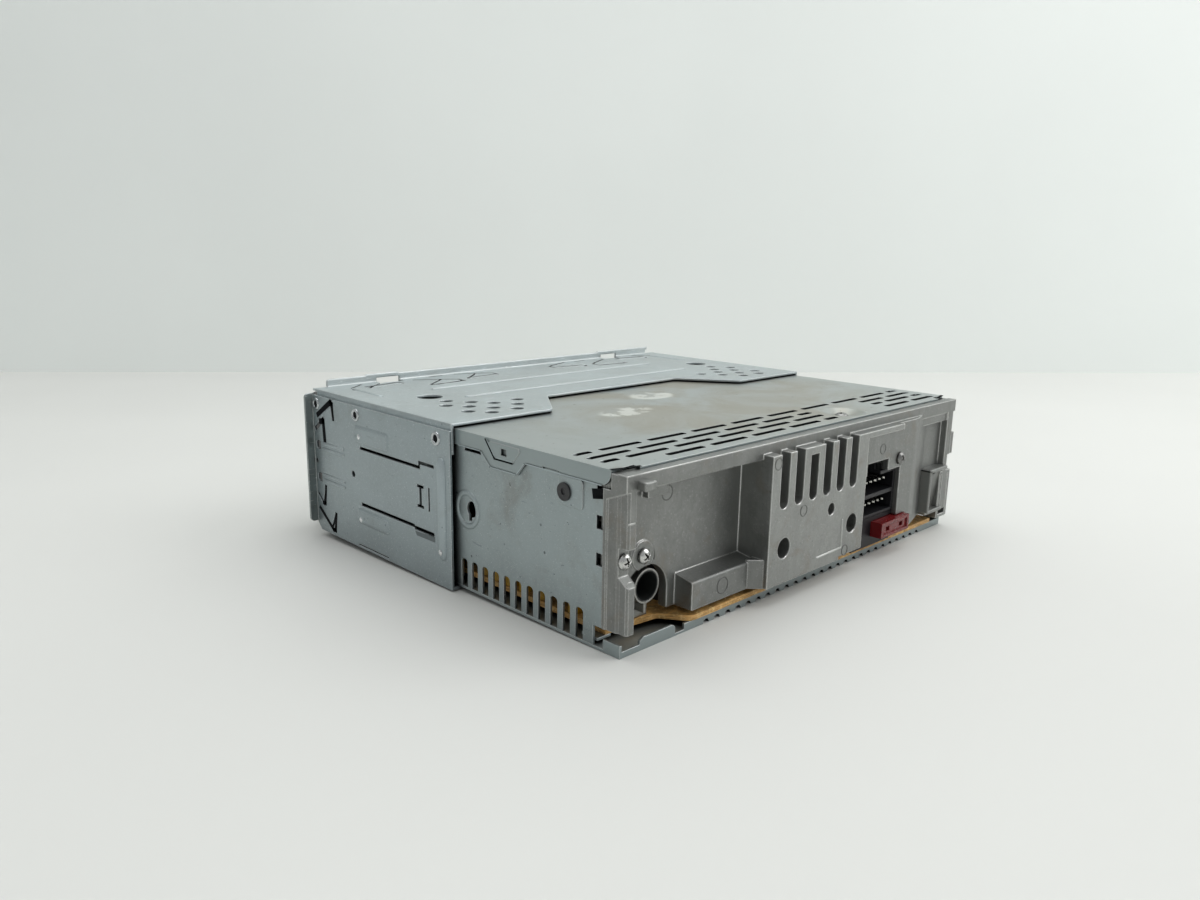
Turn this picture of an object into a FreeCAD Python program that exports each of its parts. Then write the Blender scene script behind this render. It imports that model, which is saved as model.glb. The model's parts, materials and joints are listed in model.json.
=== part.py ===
import FreeCAD, Part
import math
import os

V = FreeCAD.Vector
X = V(1, 0, 0)
Y = V(0, 1, 0)
Z = V(0, 0, 1)

# All sizes in mm. The modelling datum has x = 0 on the middle plane, y = 0 near the middle of the
# depth, z = 0 on the underside of the bottom cover. -y is the face that the driver sees, +y the
# heatsink at the back. save() shifts every piece so that the origin is the middle of the box's base.

# Chassis
half_width = 89.0
chassis_height = 50.0
steel = 0.8
lip_steel = 0.6
front_y = -75.0
cover_rear_y = 78.7
floor_rear_y = 80.0
side_rear_y = 73.5

# Mounting sleeve
flange_y = -75.6
flange_reach = 3.0
flange_half_length = half_width - 4.0
sleeve_steel = 0.8
sleeve_gap = 0.4
sleeve_drop = 0.25
sleeve_rise = 0.7
sleeve_rear_y = 10.0
sleeve_inset_y = -11.0

# Heatsink casting
web_y = 71.5
recess_y = 74.5
ledge_y = 81.0
rim_y = 82.15
plate_y = 84.0
fin_y = 85.8
rim_top = 49.4
fin_top = 46.4
casting_z = 6.3
rear_gap = 0.3

# Main board
board_z = 2.7
board_thick = 1.6
board_top = board_z + board_thick

# Disc and its mechanism
disc_z = 37.5
slot_height = 5.0
slot_z = 37.0
slot_half_width = 61.0
base_z = 24.0
base_steel = 1.0
base_half_width = 62.5
base_front_y = -66.0
base_rear_y = 70.0
top_frame_z = 44.0
spindle_y = -2.0
roller_y = -62.0
roller_z = 32.6
shaft_radius = 1.5
running_gap = 0.06
gear_module = 0.8
gear_width = 3.0
rail_z = 29.0
rail_radius = 1.25
rail_x = 24.0
rod_front_y = 4.0
sled_start_y = 23.0
sled_length = 20.0
sled_travel = 32.0
sled_gear_teeth = 15
arm_z = 41.8
arm_pivot_y = 50.0

# Front carrier and the detachable face
carrier_rear_y = front_y
carrier_thick = 4.6
face_gap = 0.4
face_half_width = 84.0
face_low = 2.5
face_high = 47.5
face_thick = 12.0
face_wall = 1.8
face_rear_y = carrier_rear_y - carrier_thick - face_gap
face_front_y = face_rear_y - face_thick
pivot_x = 3.5 - face_half_width
pivot_y = face_rear_y + 2.2
pivot_radius = 1.5
button_stroke = 0.8
button_gap = 0.25
button_proud = 1.0
knob_radius = 11.0
knob_x = 24.0 - face_half_width
knob_z = 18.0
knob_reach = 5.8
knob_grooves = 24

# Fuse
fuse_width = 18.9
fuse_thick = 5.3
fuse_x = -41.75
fuse_z = 10.25
fuse_rear_y = 86.2
fuse_depth = 12.0

# Derived places
cover_under = chassis_height - steel
side_out = half_width - lip_steel
side_in = side_out - steel
sleeve_lip_in = half_width + sleeve_gap
sleeve_side_in = sleeve_lip_in + sleeve_steel
sleeve_side_out = sleeve_side_in + sleeve_steel
sleeve_floor = -sleeve_drop - sleeve_steel
sleeve_roof = chassis_height + sleeve_rise + sleeve_steel
sleeve_seam = sleeve_roof - 2.1
flange_low = sleeve_floor - 2.45
flange_high = sleeve_roof + 2.7
shift_y = -(face_front_y - knob_reach + fuse_rear_y) / 2
shift_z = -flange_low
beyond = 4 * half_width


def block(x, y, z):
    """Box between three (low, high) pairs."""
    return Part.makeBox(x[1] - x[0], y[1] - y[0], z[1] - z[0], V(x[0], y[0], z[0]))


def rod(radius, start, axis, length):
    """Solid cylinder from a start point along an axis."""
    return Part.makeCylinder(radius, length, V(*start), axis)


def flat_face(points, place):
    """Closed face through points (a, b) or (a, b, corner radius), put in space by place."""
    corners = []
    count = len(points)
    for index, point in enumerate(points):
        here = V(point[0], point[1], 0)
        radius = point[2] if len(point) > 2 else 0.0
        before = V(points[index - 1][0], points[index - 1][1], 0)
        after = V(points[(index + 1) % count][0], points[(index + 1) % count][1], 0)
        to_before = (before - here).normalize()
        to_after = (after - here).normalize()
        half_turn = to_before.getAngle(to_after) / 2
        if radius > 0:
            reach = radius / math.tan(half_turn)
            bisector = (to_before + to_after).normalize()
            start = here + to_before * reach
            end = here + to_after * reach
            middle = here + bisector * (radius / math.sin(half_turn) - radius)
            corners.append((start, middle, end))
        else:
            corners.append((here, here, here))
    edges = []
    for index, (start, middle, end) in enumerate(corners):
        if (start - end).Length > 1e-5:
            edges.append(Part.Arc(place(start), place(middle), place(end)).toShape())
        following = corners[(index + 1) % count][0]
        if (end - following).Length > 1e-5:
            edges.append(Part.LineSegment(place(end), place(following)).toShape())
    return Part.Face(Part.Wire(edges))


def prism_x(points, low, high):
    """Outline of (y, z) points drawn out from x = low to x = high."""
    return flat_face(points, lambda p: V(low, p.x, p.y)).extrude(X * (high - low))


def prism_y(points, low, high):
    """Outline of (x, z) points drawn out from y = low to y = high."""
    return flat_face(points, lambda p: V(p.x, low, p.y)).extrude(Y * (high - low))


def prism_z(points, low, high):
    """Outline of (x, y) points drawn out from z = low to z = high."""
    return flat_face(points, lambda p: V(p.x, p.y, low)).extrude(Z * (high - low))


def rectangle(x, y, radius=0.0):
    """Corner points of a rectangle with round corners."""
    return [(x[0], y[0], radius), (x[1], y[0], radius), (x[1], y[1], radius), (x[0], y[1], radius)]


def stroke(points, width):
    """Outline of a narrow band along an open line of 2D points."""
    left = []
    right = []
    for index, point in enumerate(points):
        here = V(point[0], point[1], 0)
        sides = []
        if index > 0:
            sides.append((here - V(points[index - 1][0], points[index - 1][1], 0)).normalize())
        if index < len(points) - 1:
            sides.append((V(points[index + 1][0], points[index + 1][1], 0) - here).normalize())
        heading = (sides[0] + sides[-1]).normalize()
        normal = V(-heading.y, heading.x, 0)
        spread = width / 2 / max(0.3, normal.dot(V(-sides[0].y, sides[0].x, 0)))
        left.append((here.x + normal.x * spread, here.y + normal.y * spread))
        right.append((here.x - normal.x * spread, here.y - normal.y * spread))
    return left + right[::-1]


def mirrored(shape):
    """The same piece on the other side of the middle plane."""
    return shape.mirror(V(0, 0, 0), X)


def both_sides(shape):
    """The piece and its mirror image."""
    return [shape, mirrored(shape)]


def joined(shapes):
    """One solid out of touching shapes, with no seams left."""
    return shapes[0].multiFuse(shapes[1:]).removeSplitter()


def ring(outer, inner, start, axis, length):
    """Tube from a start point along an axis."""
    return rod(outer, start, axis, length).cut(rod(inner, start, axis, length))


def revolve_z(points, centre):
    """Turned piece about an upright axis, from (radius, z) points."""
    face = flat_face(points, lambda p: V(centre[0] + p.x, centre[1], p.y))
    return face.revolve(V(centre[0], centre[1], 0), Z, 360)


def revolve_y(points, centre):
    """Turned piece about a fore-and-aft axis, from (radius, y) points."""
    face = flat_face(points, lambda p: V(centre[0] + p.x, p.y, centre[1]))
    return face.revolve(V(centre[0], 0, centre[1]), Y, 360)


def toothed_outline(teeth, module, phase):
    """Gear outline with straight flanks and some backlash."""
    tip = module * (teeth / 2 + 0.9)
    root = module * (teeth / 2 - 1.15)
    step = 2 * math.pi / teeth
    points = []
    for index in range(teeth):
        centre = phase + index * step
        for radius, share in ((root, -0.33), (tip, -0.13), (tip, 0.13), (root, 0.33)):
            angle = centre + share * step
            points.append((radius * math.cos(angle), radius * math.sin(angle)))
    return points


def save(name, *shapes):
    """Write one node, shifted from the modelling datum to the part's own frame."""
    shape = shapes[0] if len(shapes) == 1 else Part.makeCompound(list(shapes))
    shape = shape.copy()
    shape.translate(V(0, shift_y, shift_z))
    shape.exportStep("parts/" + name + ".step")
    return shape


# Chassis sheets

side_slot_first = 13.1
side_slot_pitch = 5.16
side_slot_width = 3.0
side_slot_top = 9.7
side_slot_count = 11
keyhole_y = 17.3
keyhole_z = 26.3
keyhole_radius = 2.5
dish_y = 15.0
dish_z = 25.8
dish_radius = 5.7
pad_y = 61.0
pad_z = 41.0
side_screw_y = 58.8
side_screw_z = 40.7
side_screw_radius = 1.5
damper_x = base_half_width - 8.5
damper_ys = (-22.0, 52.0)
damper_radius = 5.0
damper_low = 16.0
socket_half_length = 16.0
socket_z = 20.0
socket_height = 6.0


def chassis_side():
    """Right-hand side sheet: comb slots, keyhole in a dished ring, rolled rear edge."""
    low = steel
    high = cover_under
    rear = side_rear_y
    outline = [
        (front_y, low), (rear - 3.5, low), (rear - 3.5, 6.5), (rear, 6.5), (rear, high), (front_y, high),
    ]
    sheet = prism_x(outline, side_in, side_out)
    cuts = []
    for index in range(side_slot_count):
        centre = side_slot_first + index * side_slot_pitch
        start = centre - side_slot_width / 2
        end = centre + side_slot_width / 2
        slot = [(start, 0), (end, 0), (end, side_slot_top, 1.2), (start, side_slot_top, 1.2)]
        cuts.append(prism_x(slot, side_in - 1, side_out + 1))
    cuts.append(rod(keyhole_radius, (side_in - 1, keyhole_y, keyhole_z), X, 4))
    notch_y = (keyhole_y - 1.6, keyhole_y)
    cuts.append(block((side_in - 1, side_out + 1), notch_y, (keyhole_z - 3.8, keyhole_z)))
    for notch_z in ((33.3, 37.0), (23.3, 26.8), (42.3, 45.3)):
        cuts.append(block((side_in - 1, side_out + 1), (rear - 2.7, rear + 1), notch_z))
    cuts.append(rod(side_screw_radius, (side_in - 3, side_screw_y, side_screw_z), X, 6))
    cuts.append(block((side_in - 1, side_out + 1), (14.0, 22.0), (44.0, 45.6)))
    dish = ring(dish_radius, dish_radius - 1.0, (side_out, dish_y, dish_z), X, 0.25)
    pad = prism_x(
        rectangle((pad_y - 4.8, pad_y + 4.8), (pad_z - 4.0, pad_z + 4.0), 1.0), side_out, side_out + 0.35
    )
    return sheet.cut(Part.makeCompound(cuts)).fuse(dish.cut(cuts[side_slot_count])).fuse(
        pad.cut(rod(side_screw_radius, (side_in - 3, side_screw_y, side_screw_z), X, 6))
    )


def chassis_frame():
    """Side sheets, front wall and the tabs that carry the board and the mechanism."""
    right = chassis_side()
    front = block((-side_in, side_in), (front_y, front_y + steel), (steel, cover_under))
    disc_gap = prism_y(
        rectangle((-slot_half_width - 2, slot_half_width + 2), (slot_z - 1.5, slot_z + slot_height + 1.5), 2),
        front_y - 1, front_y + 2,
    )
    plug_gap = prism_y(
        rectangle(
            (-socket_half_length - 1, socket_half_length + 1),
            (socket_z - socket_height / 2 - 1, socket_z + socket_height / 2 + 1), 1,
        ),
        front_y - 1, front_y + 2,
    )
    front = front.cut(disc_gap).cut(plug_gap)
    pieces = [right, mirrored(right), front]
    tab_x = (side_in - 5.0, side_in)
    for y in (-60.0, -20.0, 5.0, 68.0):
        tab = block(tab_x, (y - 3.0, y + 3.0), (board_z - steel, board_z))
        pieces += both_sides(tab)
    arm_x = (damper_x - damper_radius, side_in)
    for y in damper_ys:
        arm = block(arm_x, (y - 6.0, y + 6.0), (damper_low - steel, damper_low))
        pieces += both_sides(arm)
    return joined(pieces)


vent_length = 16.0
vent_width = 2.2
vent_pitch = 19.35
vent_rows = (74.2, 69.0, 64.0, 58.7)
vent_edge = half_width - 3.5
vent_minimum = 5.0
vent_row_end = half_width - 23.0
dimple_x = -28.0
dimple_y = 70.0
dimple_radius = 8.0
dimple_floor_radius = 5.0
dimple_depth = 1.7
cover_screw_radius = 1.5
lip_z = 45.3


def vent_spans(row):
    """Start and end of every vent in a row, short beside the edges and the screw dimple."""
    offset = 0.3 if row % 2 == 0 else 9.8
    plain = (dimple_x - 22.0, dimple_x + 10.0) if vent_rows[row] > 60 else (1e3, 1e3)
    spans = []
    for index in range(-5, 6):
        start = offset + index * vent_pitch - vent_length / 2
        end = start + vent_length
        start = max(start, -vent_edge)
        end = min(end, vent_edge)
        if row == 0:
            end = min(end, vent_row_end)
        if start < plain[0] < end:
            end = plain[0]
        if start < plain[1] < end:
            start = plain[1]
        inside = plain[0] <= start and end <= plain[1]
        if end - start >= vent_minimum and not inside:
            spans.append((start, end))
    return spans


def top_cover():
    """Lid with staggered vents, folded side lips and a dished screw hole."""
    corner_x = half_width - 8.0
    corner_y = cover_rear_y - 2.4
    sheet = prism_z(
        [
            (-half_width, front_y), (half_width, front_y), (half_width, corner_y), (corner_x, corner_y),
            (corner_x, cover_rear_y), (-corner_x, cover_rear_y), (-corner_x, corner_y),
            (-half_width, corner_y),
        ],
        cover_under, chassis_height,
    )
    tab = (22.8, 27.0, 39.5, 43.0)
    tab_low = 41.2
    lip = prism_x(
        [
            (front_y, cover_under), (front_y, lip_z), (tab[0], lip_z, 1), (tab[1], tab_low, 1),
            (tab[2], tab_low, 1), (tab[3], lip_z, 1), (corner_y - 0.2, lip_z, 4.0),
            (corner_y, cover_under),
        ],
        side_out, half_width,
    )
    clinch = block((side_out - 1, half_width + 1), (32.4, 35.0), (45.8, 47.8))
    slot = block((side_out - 1, half_width + 1), (50.3, 57.0), (44.0, lip_z - 0.3))
    lip = lip.cut(clinch).cut(slot.translated(V(0, 0, 0.9)))
    raised = prism_x(
        [(26.0, 49.0, 0.8), (30.0, 44.2, 0.8), (37.5, 44.2, 0.8), (41.5, 49.0, 0.8)],
        half_width, half_width + 0.25,
    ).cut(clinch)
    vents = []
    for row, y in enumerate(vent_rows):
        for start, end in vent_spans(row):
            vents.append(
                prism_z(
                    rectangle((start, end), (y - vent_width / 2, y + vent_width / 2), 0.7),
                    cover_under - 1, chassis_height + 1,
                )
            )
    sheet = sheet.cut(Part.makeCompound(vents))
    sheet = sheet.cut(rod(dimple_radius, (dimple_x, dimple_y, cover_under - 1), Z, 4))
    floor_z = cover_under - dimple_depth
    dimple = revolve_z(
        [
            (cover_screw_radius, floor_z), (dimple_floor_radius, floor_z), (dimple_radius, cover_under),
            (dimple_radius, chassis_height), (dimple_floor_radius, floor_z + steel),
            (cover_screw_radius, floor_z + steel),
        ],
        (dimple_x, dimple_y),
    )
    return joined([sheet, dimple, lip, mirrored(lip), raised, mirrored(raised)])


scallop_radius = 1.3
scallop_pitch = 4.95
scallop_start = 53.3
scallop_end = -72.0
low_lip = 1.8
high_lip = 3.6
rear_lip = 2.5


def bottom_cover():
    """Floor sheet with a scalloped rear lip and a turned-up corner."""
    edge = side_out
    rear = floor_rear_y
    sheet = block((-edge, edge), (front_y, rear), (0, steel))
    lip_y = (rear - steel, rear)
    corner_end = edge - 7.7
    corner_start = edge - 21.8
    pieces = [sheet]
    pieces.append(block((corner_end, edge), lip_y, (0, low_lip)))
    high = prism_y(
        [
            (corner_start, 0), (corner_end, 0), (corner_end, high_lip - 0.8),
            (corner_end - 1.4, high_lip, 0.4), (corner_start, high_lip, 1.6),
        ],
        lip_y[0], lip_y[1],
    )
    pieces.append(high)
    pieces.append(prism_y(rectangle((-edge, edge - 25.6), (0, rear_lip), 0.0), lip_y[0], lip_y[1]))
    side_lip = block((edge - steel, edge), (side_rear_y + 0.4, rear), (0, high_lip))
    pieces += both_sides(side_lip)
    floor = joined(pieces)
    cuts = []
    count = int((scallop_start - scallop_end) / scallop_pitch) + 1
    for index in range(count):
        x = scallop_start - index * scallop_pitch
        cuts.append(rod(scallop_radius, (x, rear - 2.0, 0), Y, 4))
    for x in (-60.0, 0.0, 60.0):
        for y in (-40.0, 0.0, 40.0):
            cuts.append(
                prism_z(rectangle((x - 10, x + 10), (y - 1.5, y + 1.5), 1.4), -1, steel + 1)
            )
    return floor.cut(Part.makeCompound(cuts))


# Heatsink casting

pillar_out = half_width + 0.2
pillar_x = pillar_out - 4.4
pillar_z = 6.9
block_left = pillar_x - 51.8
block_right = -19.6
slot_first = 26.6
slot_pitch = 7.61
slot_width = 4.5
slot_count = 6
framed_slot = 2
slot_low = 29.75
slot_floor_y = 77.0
hole_radius = 3.2
hole_z = 17.4
hole_x = (25.3, -12.55)
hole_depth = 10.0
tapped_x = 0.3
tapped_z = 24.6
tapped_radius = 2.0
tapped_depth = 8.0
aerial_x = pillar_x - 11.5
aerial_z = 14.9
aerial_radius = 4.4
aerial_bore = 4.0
aerial_mouth_y = 75.1
aerial_depth = 14.0
arch_radius = 8.8
arch_z = 12.0
plug_x = (-45.6, -20.0)
plug_top = 30.7
plug_notch = (-37.2, -23.3)
plug_notch_top = 34.8
rear_screws = (
    (pillar_x + 1.7, rim_y - 3.15, 26.1), (pillar_x - 9.8, recess_y + 0.6, 23.9), (-44.6, plate_y, 33.8),
)
screw_shank = 1.4
frame_out = -half_width + 0.7
frame_x = frame_out + 5.3
channel_y = 79.6


def heatsink_rim():
    """Top rail with the sloped roof of the recesses below it."""
    return prism_x(
        [
            (web_y, 42.0), (recess_y, 42.0), (rim_y, 45.0), (rim_y, rim_top), (cover_rear_y + 0.3, rim_top),
            (cover_rear_y + 0.3, cover_under), (76.5, cover_under), (76.5, 47.0), (web_y, 45.5),
        ],
        frame_out, pillar_out,
    )


def heatsink_pillar():
    """Stepped corner pillar on the aerial side."""
    pillar = prism_z(
        [
            (pillar_x, web_y), (side_in - 0.2, web_y), (side_in - 0.2, side_rear_y + 0.4),
            (pillar_out, side_rear_y + 0.4), (pillar_out, 75.0), (pillar_out - 0.4, 75.4),
            (pillar_out - 0.4, 78.6), (pillar_out - 0.9, 79.4), (pillar_out - 0.9, rim_y - 0.6),
            (pillar_out - 1.5, rim_y), (pillar_x + 0.8, rim_y), (pillar_x, rim_y - 0.8),
        ],
        pillar_z, rim_top - 0.2,
    )
    notch = block((pillar_x - 1, pillar_out + 1), (rear_screws[0][1], rim_y + 1), (22.0, 30.0))
    slope = prism_x(
        [(rear_screws[0][1], 22.1), (rim_y + 1, 19.0), (rim_y + 1, 22.1)], pillar_x - 1, pillar_out + 1
    )
    return pillar.cut(notch).cut(slope)


def heatsink_block():
    """Central block with six slots between the fins, one of them framed at its top."""
    body = block((block_right, block_left), (web_y, fin_y), (casting_z, fin_top))
    step = block((block_right - 1, -6.0), (web_y - 1, fin_y + 1), (casting_z - 1, casting_z + 1.1))
    body = body.cut(step)
    cuts = []
    for index in range(slot_count):
        x = slot_first - index * slot_pitch
        high = fin_top - 2.4 if index == framed_slot else fin_top + 1
        half = slot_width / 2
        cuts.append(
            prism_y(
                [
                    (x - half, slot_low, half - 0.05), (x + half, slot_low, half - 0.05),
                    (x + half, high), (x - half, high),
                ],
                slot_floor_y, fin_y + 1,
            )
        )
    for x in hole_x:
        cuts.append(rod(hole_radius, (x, fin_y - hole_depth, hole_z), Y, 20))
    cuts.append(rod(tapped_radius, (tapped_x, fin_y - tapped_depth, tapped_z), Y, 20))
    return body.cut(Part.makeCompound(cuts))


def heatsink_ledge():
    """Sloped box at the foot of the recess, blended into the central block."""
    ledge = prism_x(
        [
            (web_y, casting_z - 0.2), (ledge_y, casting_z - 0.2), (ledge_y, 14.2, 0.8), (recess_y, 15.4),
            (web_y, 15.4),
        ],
        block_left - 0.5, pillar_x - 23.6,
    )
    blend = prism_z(
        [
            (block_left - 0.5, ledge_y - 1), (block_left + 3.2, ledge_y - 1), (block_left + 3.2, ledge_y),
            (block_left, fin_y - 1.5), (block_left - 0.5, fin_y - 1.5),
        ],
        casting_z - 0.2, 15.0,
    )
    return ledge.fuse(blend)


def heatsink_plug_side():
    """Plate round the plug opening that curves forward into the channel at the far corner."""
    low = casting_z + 1.1
    web = 2.6
    plate = prism_z(
        [
            (block_right + 0.5, plate_y), (-56.0, plate_y, 14.0), (frame_x + 12.0, channel_y, 14.0),
            (frame_x, channel_y), (frame_x, rim_y), (-side_in + 0.2, rim_y, 0.6), (-side_in + 0.2, web_y),
            (frame_x - 2.0, web_y), (frame_x - 2.0, channel_y - web),
            (frame_x + 12.0, channel_y - web, 11.0), (-56.0, plate_y - web, 11.0),
            (block_right + 0.5, plate_y - web),
        ],
        low, fin_top,
    )
    side_ear = block((frame_out - 0.7, frame_out + 1.2), (76.0, rim_y), (28.7, 37.0))
    top_bar = block((-42.9, block_right + 0.5), (plate_y - 0.5, fin_y), (fin_top - 1.9, fin_top))
    roof = block((frame_x - 2, block_right + 0.5), (web_y, plate_y - web + 0.2), (42.0, 45.4))
    boss_back = block((-47.6, -41.6), (plate_y - 5.5, plate_y - 1), (31.5, 36.5))
    corner = block((frame_out - 0.7, frame_x + 2.0), (76.0, rim_y), (low - 3.2, 22.4))
    pocket = block((frame_out + 0.7, frame_x + 0.8), (77.5, rim_y + 1), (low - 2.0, 21.0))
    gusset = prism_z(
        [(frame_out, 77.0), (frame_x + 1.0, 77.0), (frame_out, rim_y - 1.0)], 12.0, 13.2
    )
    corner = corner.cut(pocket).fuse(gusset)
    body = joined([plate, side_ear, top_bar, roof, boss_back, corner])
    opening = block(plug_x, (60, beyond), (0, plug_top))
    notch = block(plug_notch, (60, beyond), (plug_top - 1, plug_notch_top))
    fuse_cut = block(
        (fuse_x - fuse_width / 2 - rear_gap, fuse_x + fuse_width / 2 + rear_gap), (60, beyond),
        (0, fuse_z + fuse_thick / 2 + rear_gap),
    )
    frame_step = block((frame_out - 2, frame_x - 2.5), (side_rear_y, beyond), (22.5, 28.5))
    return body.cut(opening).cut(notch).cut(fuse_cut).cut(frame_step)


def heatsink():
    """The die casting that closes the rear."""
    web = block((block_left - 1, pillar_x + 1), (web_y, recess_y), (casting_z - 0.2, 43.0))
    arch = prism_y(
        [
            (aerial_x - arch_radius, 0), (aerial_x + arch_radius, 0),
            (aerial_x + arch_radius, arch_z + arch_radius, arch_radius - 0.05),
            (aerial_x - arch_radius, arch_z + arch_radius, arch_radius - 0.05),
        ],
        web_y - 1, recess_y + 1,
    )
    seat_x, seat_y, seat_z = rear_screws[1]
    pads = [
        block((pillar_x - 17.3, pillar_x - 9.3), (recess_y, recess_y + 2.2), (40.2, 43.0)),
        rod(4.2, (seat_x, recess_y - 0.5, seat_z), Y, seat_y - recess_y + 0.5),
        block((dimple_x - 4, dimple_x + 4), (66.0, web_y + 1), (40.0, cover_under - dimple_depth - 0.02)),
    ]
    casting = joined(
        [heatsink_rim(), heatsink_pillar(), heatsink_block(), heatsink_ledge(), heatsink_plug_side(), web]
        + pads
    )
    cuts = [arch]
    for x, y, z in rear_screws:
        cuts.append(rod(screw_shank, (x, y - 6.0, z), Y, 12))
    cuts.append(rod(cover_screw_radius, (dimple_x, dimple_y, 38.0), Z, 12))
    cuts.append(rod(dimple_radius + 0.3, (dimple_x, dimple_y, cover_under - dimple_depth - 0.02), Z, 5))
    cuts.append(block((side_in - 0.2, beyond), (side_rear_y - 13.5, side_rear_y + 0.3), (0, beyond)))
    cuts.append(block((-beyond, -side_in + 0.2), (side_rear_y - 13.5, side_rear_y + 0.3), (0, beyond)))
    lip_room = block(
        (side_out - 0.2, beyond), (side_rear_y - 13.5, cover_rear_y - 2.1), (lip_z - 0.5, beyond)
    )
    cuts += both_sides(lip_room)
    return casting.cut(Part.makeCompound(cuts))


def cross_screw(x, y, z, shank_length):
    """Pan-head screw with a cross recess, head towards the rear."""
    head = revolve_y(
        [(0, y), (2.7, y), (2.7, y + 0.7), (1.6, y + 1.9), (0, y + 1.9)], (x, z)
    )
    shank = rod(screw_shank, (x, y - shank_length, z), Y, shank_length)
    cross = joined(
        [
            block((x - 1.5, x + 1.5), (y + 0.9, y + 3), (z - 0.3, z + 0.3)),
            block((x - 0.3, x + 0.3), (y + 0.9, y + 3), (z - 1.5, z + 1.5)),
        ]
    )
    return head.fuse(shank).cut(cross)


def silver_screws():
    """Three screws in the heatsink and one in the cover's dimple."""
    pieces = [cross_screw(x, y, z, 6.0) for x, y, z in rear_screws]
    lid = cross_screw(0, 0, 0, 7.0)
    lid.rotate(V(0, 0, 0), X, 90)
    lid.translate(V(dimple_x, dimple_y, cover_under - dimple_depth + steel))
    return pieces + [lid]


def side_screws():
    """Black screws through the side sheets."""
    head = rod(2.5, (side_out + 0.35, side_screw_y, side_screw_z), X, 0.5)
    shank = rod(side_screw_radius, (side_out - 4.0, side_screw_y, side_screw_z), X, 4.4)
    recess = rod(0.9, (side_out + 0.5, side_screw_y, side_screw_z), X, 1.0)
    return both_sides(head.fuse(shank).cut(recess))


# Board and what stands on it


def main_board():
    """Circuit board, its rear edge stepped round the aerial corner."""
    edge = side_in - 3.1
    return prism_z(
        [
            (-edge, -70.0), (edge, -70.0), (edge, 70.8), (edge - 8.5, 71.4, 2.0),
            (edge - 18.5, 72.6, 3.0), (edge - 24.0, 80.5, 4.0), (5.0 - edge, 80.5), (4.2 - edge, 75.0),
            (-edge, 73.0),
        ],
        board_z, board_top,
    )


def antenna_socket():
    """Aerial socket: screened box with a round mouth and a centre contact."""
    tube = rod(aerial_radius, (aerial_x, 60.0, aerial_z), Y, aerial_mouth_y - 60.0)
    box = block((aerial_x - 6.0, aerial_x + 6.0), (58.4, 66.0), (board_top, aerial_z + 6.0))
    bore_start = aerial_mouth_y - aerial_depth
    bore = rod(aerial_bore, (aerial_x, bore_start, aerial_z), Y, aerial_depth + 1)
    return joined([tube, box]).cut(bore)


def antenna_clip():
    """Sprung ring round the socket's mouth with two feet on the board."""
    band = ring(
        aerial_radius + 0.5, aerial_radius, (aerial_x, aerial_mouth_y - 4.6, aerial_z), Y, 4.6
    )
    stem = block(
        (aerial_x - 0.4, aerial_x + 0.4), (aerial_mouth_y - 4.6, aerial_mouth_y - 0.6),
        (7.0, aerial_z - aerial_radius - 0.1),
    )
    foot = block(
        (aerial_x - 4.5, aerial_x + 4.5), (aerial_mouth_y - 4.6, aerial_mouth_y - 4.0), (board_top, 8.6)
    )
    return joined([band, stem, foot])


connector_rear_y = 82.4
pin_rows = (26.3, 18.6)
pin_pitch = 3.0
pin_start = -31.0
pin_count = 5


def power_connector():
    """Black plug housing with two chambers behind the casting's opening."""
    x = (plug_x[0] + rear_gap, plug_x[1] - rear_gap)
    body = block(x, (70.8, connector_rear_y), (15.0, plug_top - rear_gap))
    key = block(
        (plug_notch[0] + rear_gap, plug_notch[1] - rear_gap), (72.0, 80.0),
        (plug_top - 1, plug_notch_top - 0.5),
    )
    body = body.fuse(key)
    inside = (x[0] + 1.2, x[1] - 1.2)
    upper = block(inside, (73.0, beyond), (pin_rows[0] - 3.1, pin_rows[0] + 2.9))
    lower = block(inside, (73.0, beyond), (pin_rows[1] - 2.6, pin_rows[1] + 3.2))
    key_room = block(
        (plug_notch[0] + 2, plug_notch[1] - 2), (74.0, beyond), (pin_rows[0], plug_notch_top - 1.5)
    )
    legs = []
    for leg_x in (x[0] + 2.0, x[1] - 4.0):
        legs.append(block((leg_x, leg_x + 2.0), (70.8, 73.0), (14.6, 15.5)))
    return joined([body.cut(upper).cut(lower).cut(key_room)] + legs)


def connector_pins():
    """Ten blade pins in two rows."""
    pins = []
    for z in pin_rows:
        for index in range(pin_count):
            x = pin_start - index * pin_pitch
            pin = prism_z(
                [
                    (x - 0.5, 73.0), (x + 0.5, 73.0), (x + 0.5, 79.4), (x + 0.2, 80.0), (x - 0.2, 80.0),
                    (x - 0.5, 79.4),
                ],
                z - 0.35, z + 0.35,
            )
            pins.append(pin)
    return pins


def fuse_holder():
    """Black holder that grips the fuse in a pocket."""
    half = fuse_width / 2 + 0.2
    low = board_top
    high = 14.6
    body = block((fuse_x - half - 1.2, plug_x[1] - rear_gap), (64.0, plate_y - 3.4), (low, high))
    nose = block((plug_x[0] + rear_gap, plug_x[1] - rear_gap), (plate_y - 3.5, plate_y - 2.0), (low, high))
    pocket = block(
        (fuse_x - half, fuse_x + half), (fuse_rear_y - fuse_depth - 0.2, beyond),
        (fuse_z - fuse_thick / 2 - 0.15, fuse_z + fuse_thick / 2 + 0.15),
    )
    blades = block((fuse_x - 7.7, fuse_x + 7.7), (66.0, 80.0), (fuse_z - 0.7, fuse_z + 0.7))
    return joined([body, nose]).cut(pocket).cut(blades)


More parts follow.
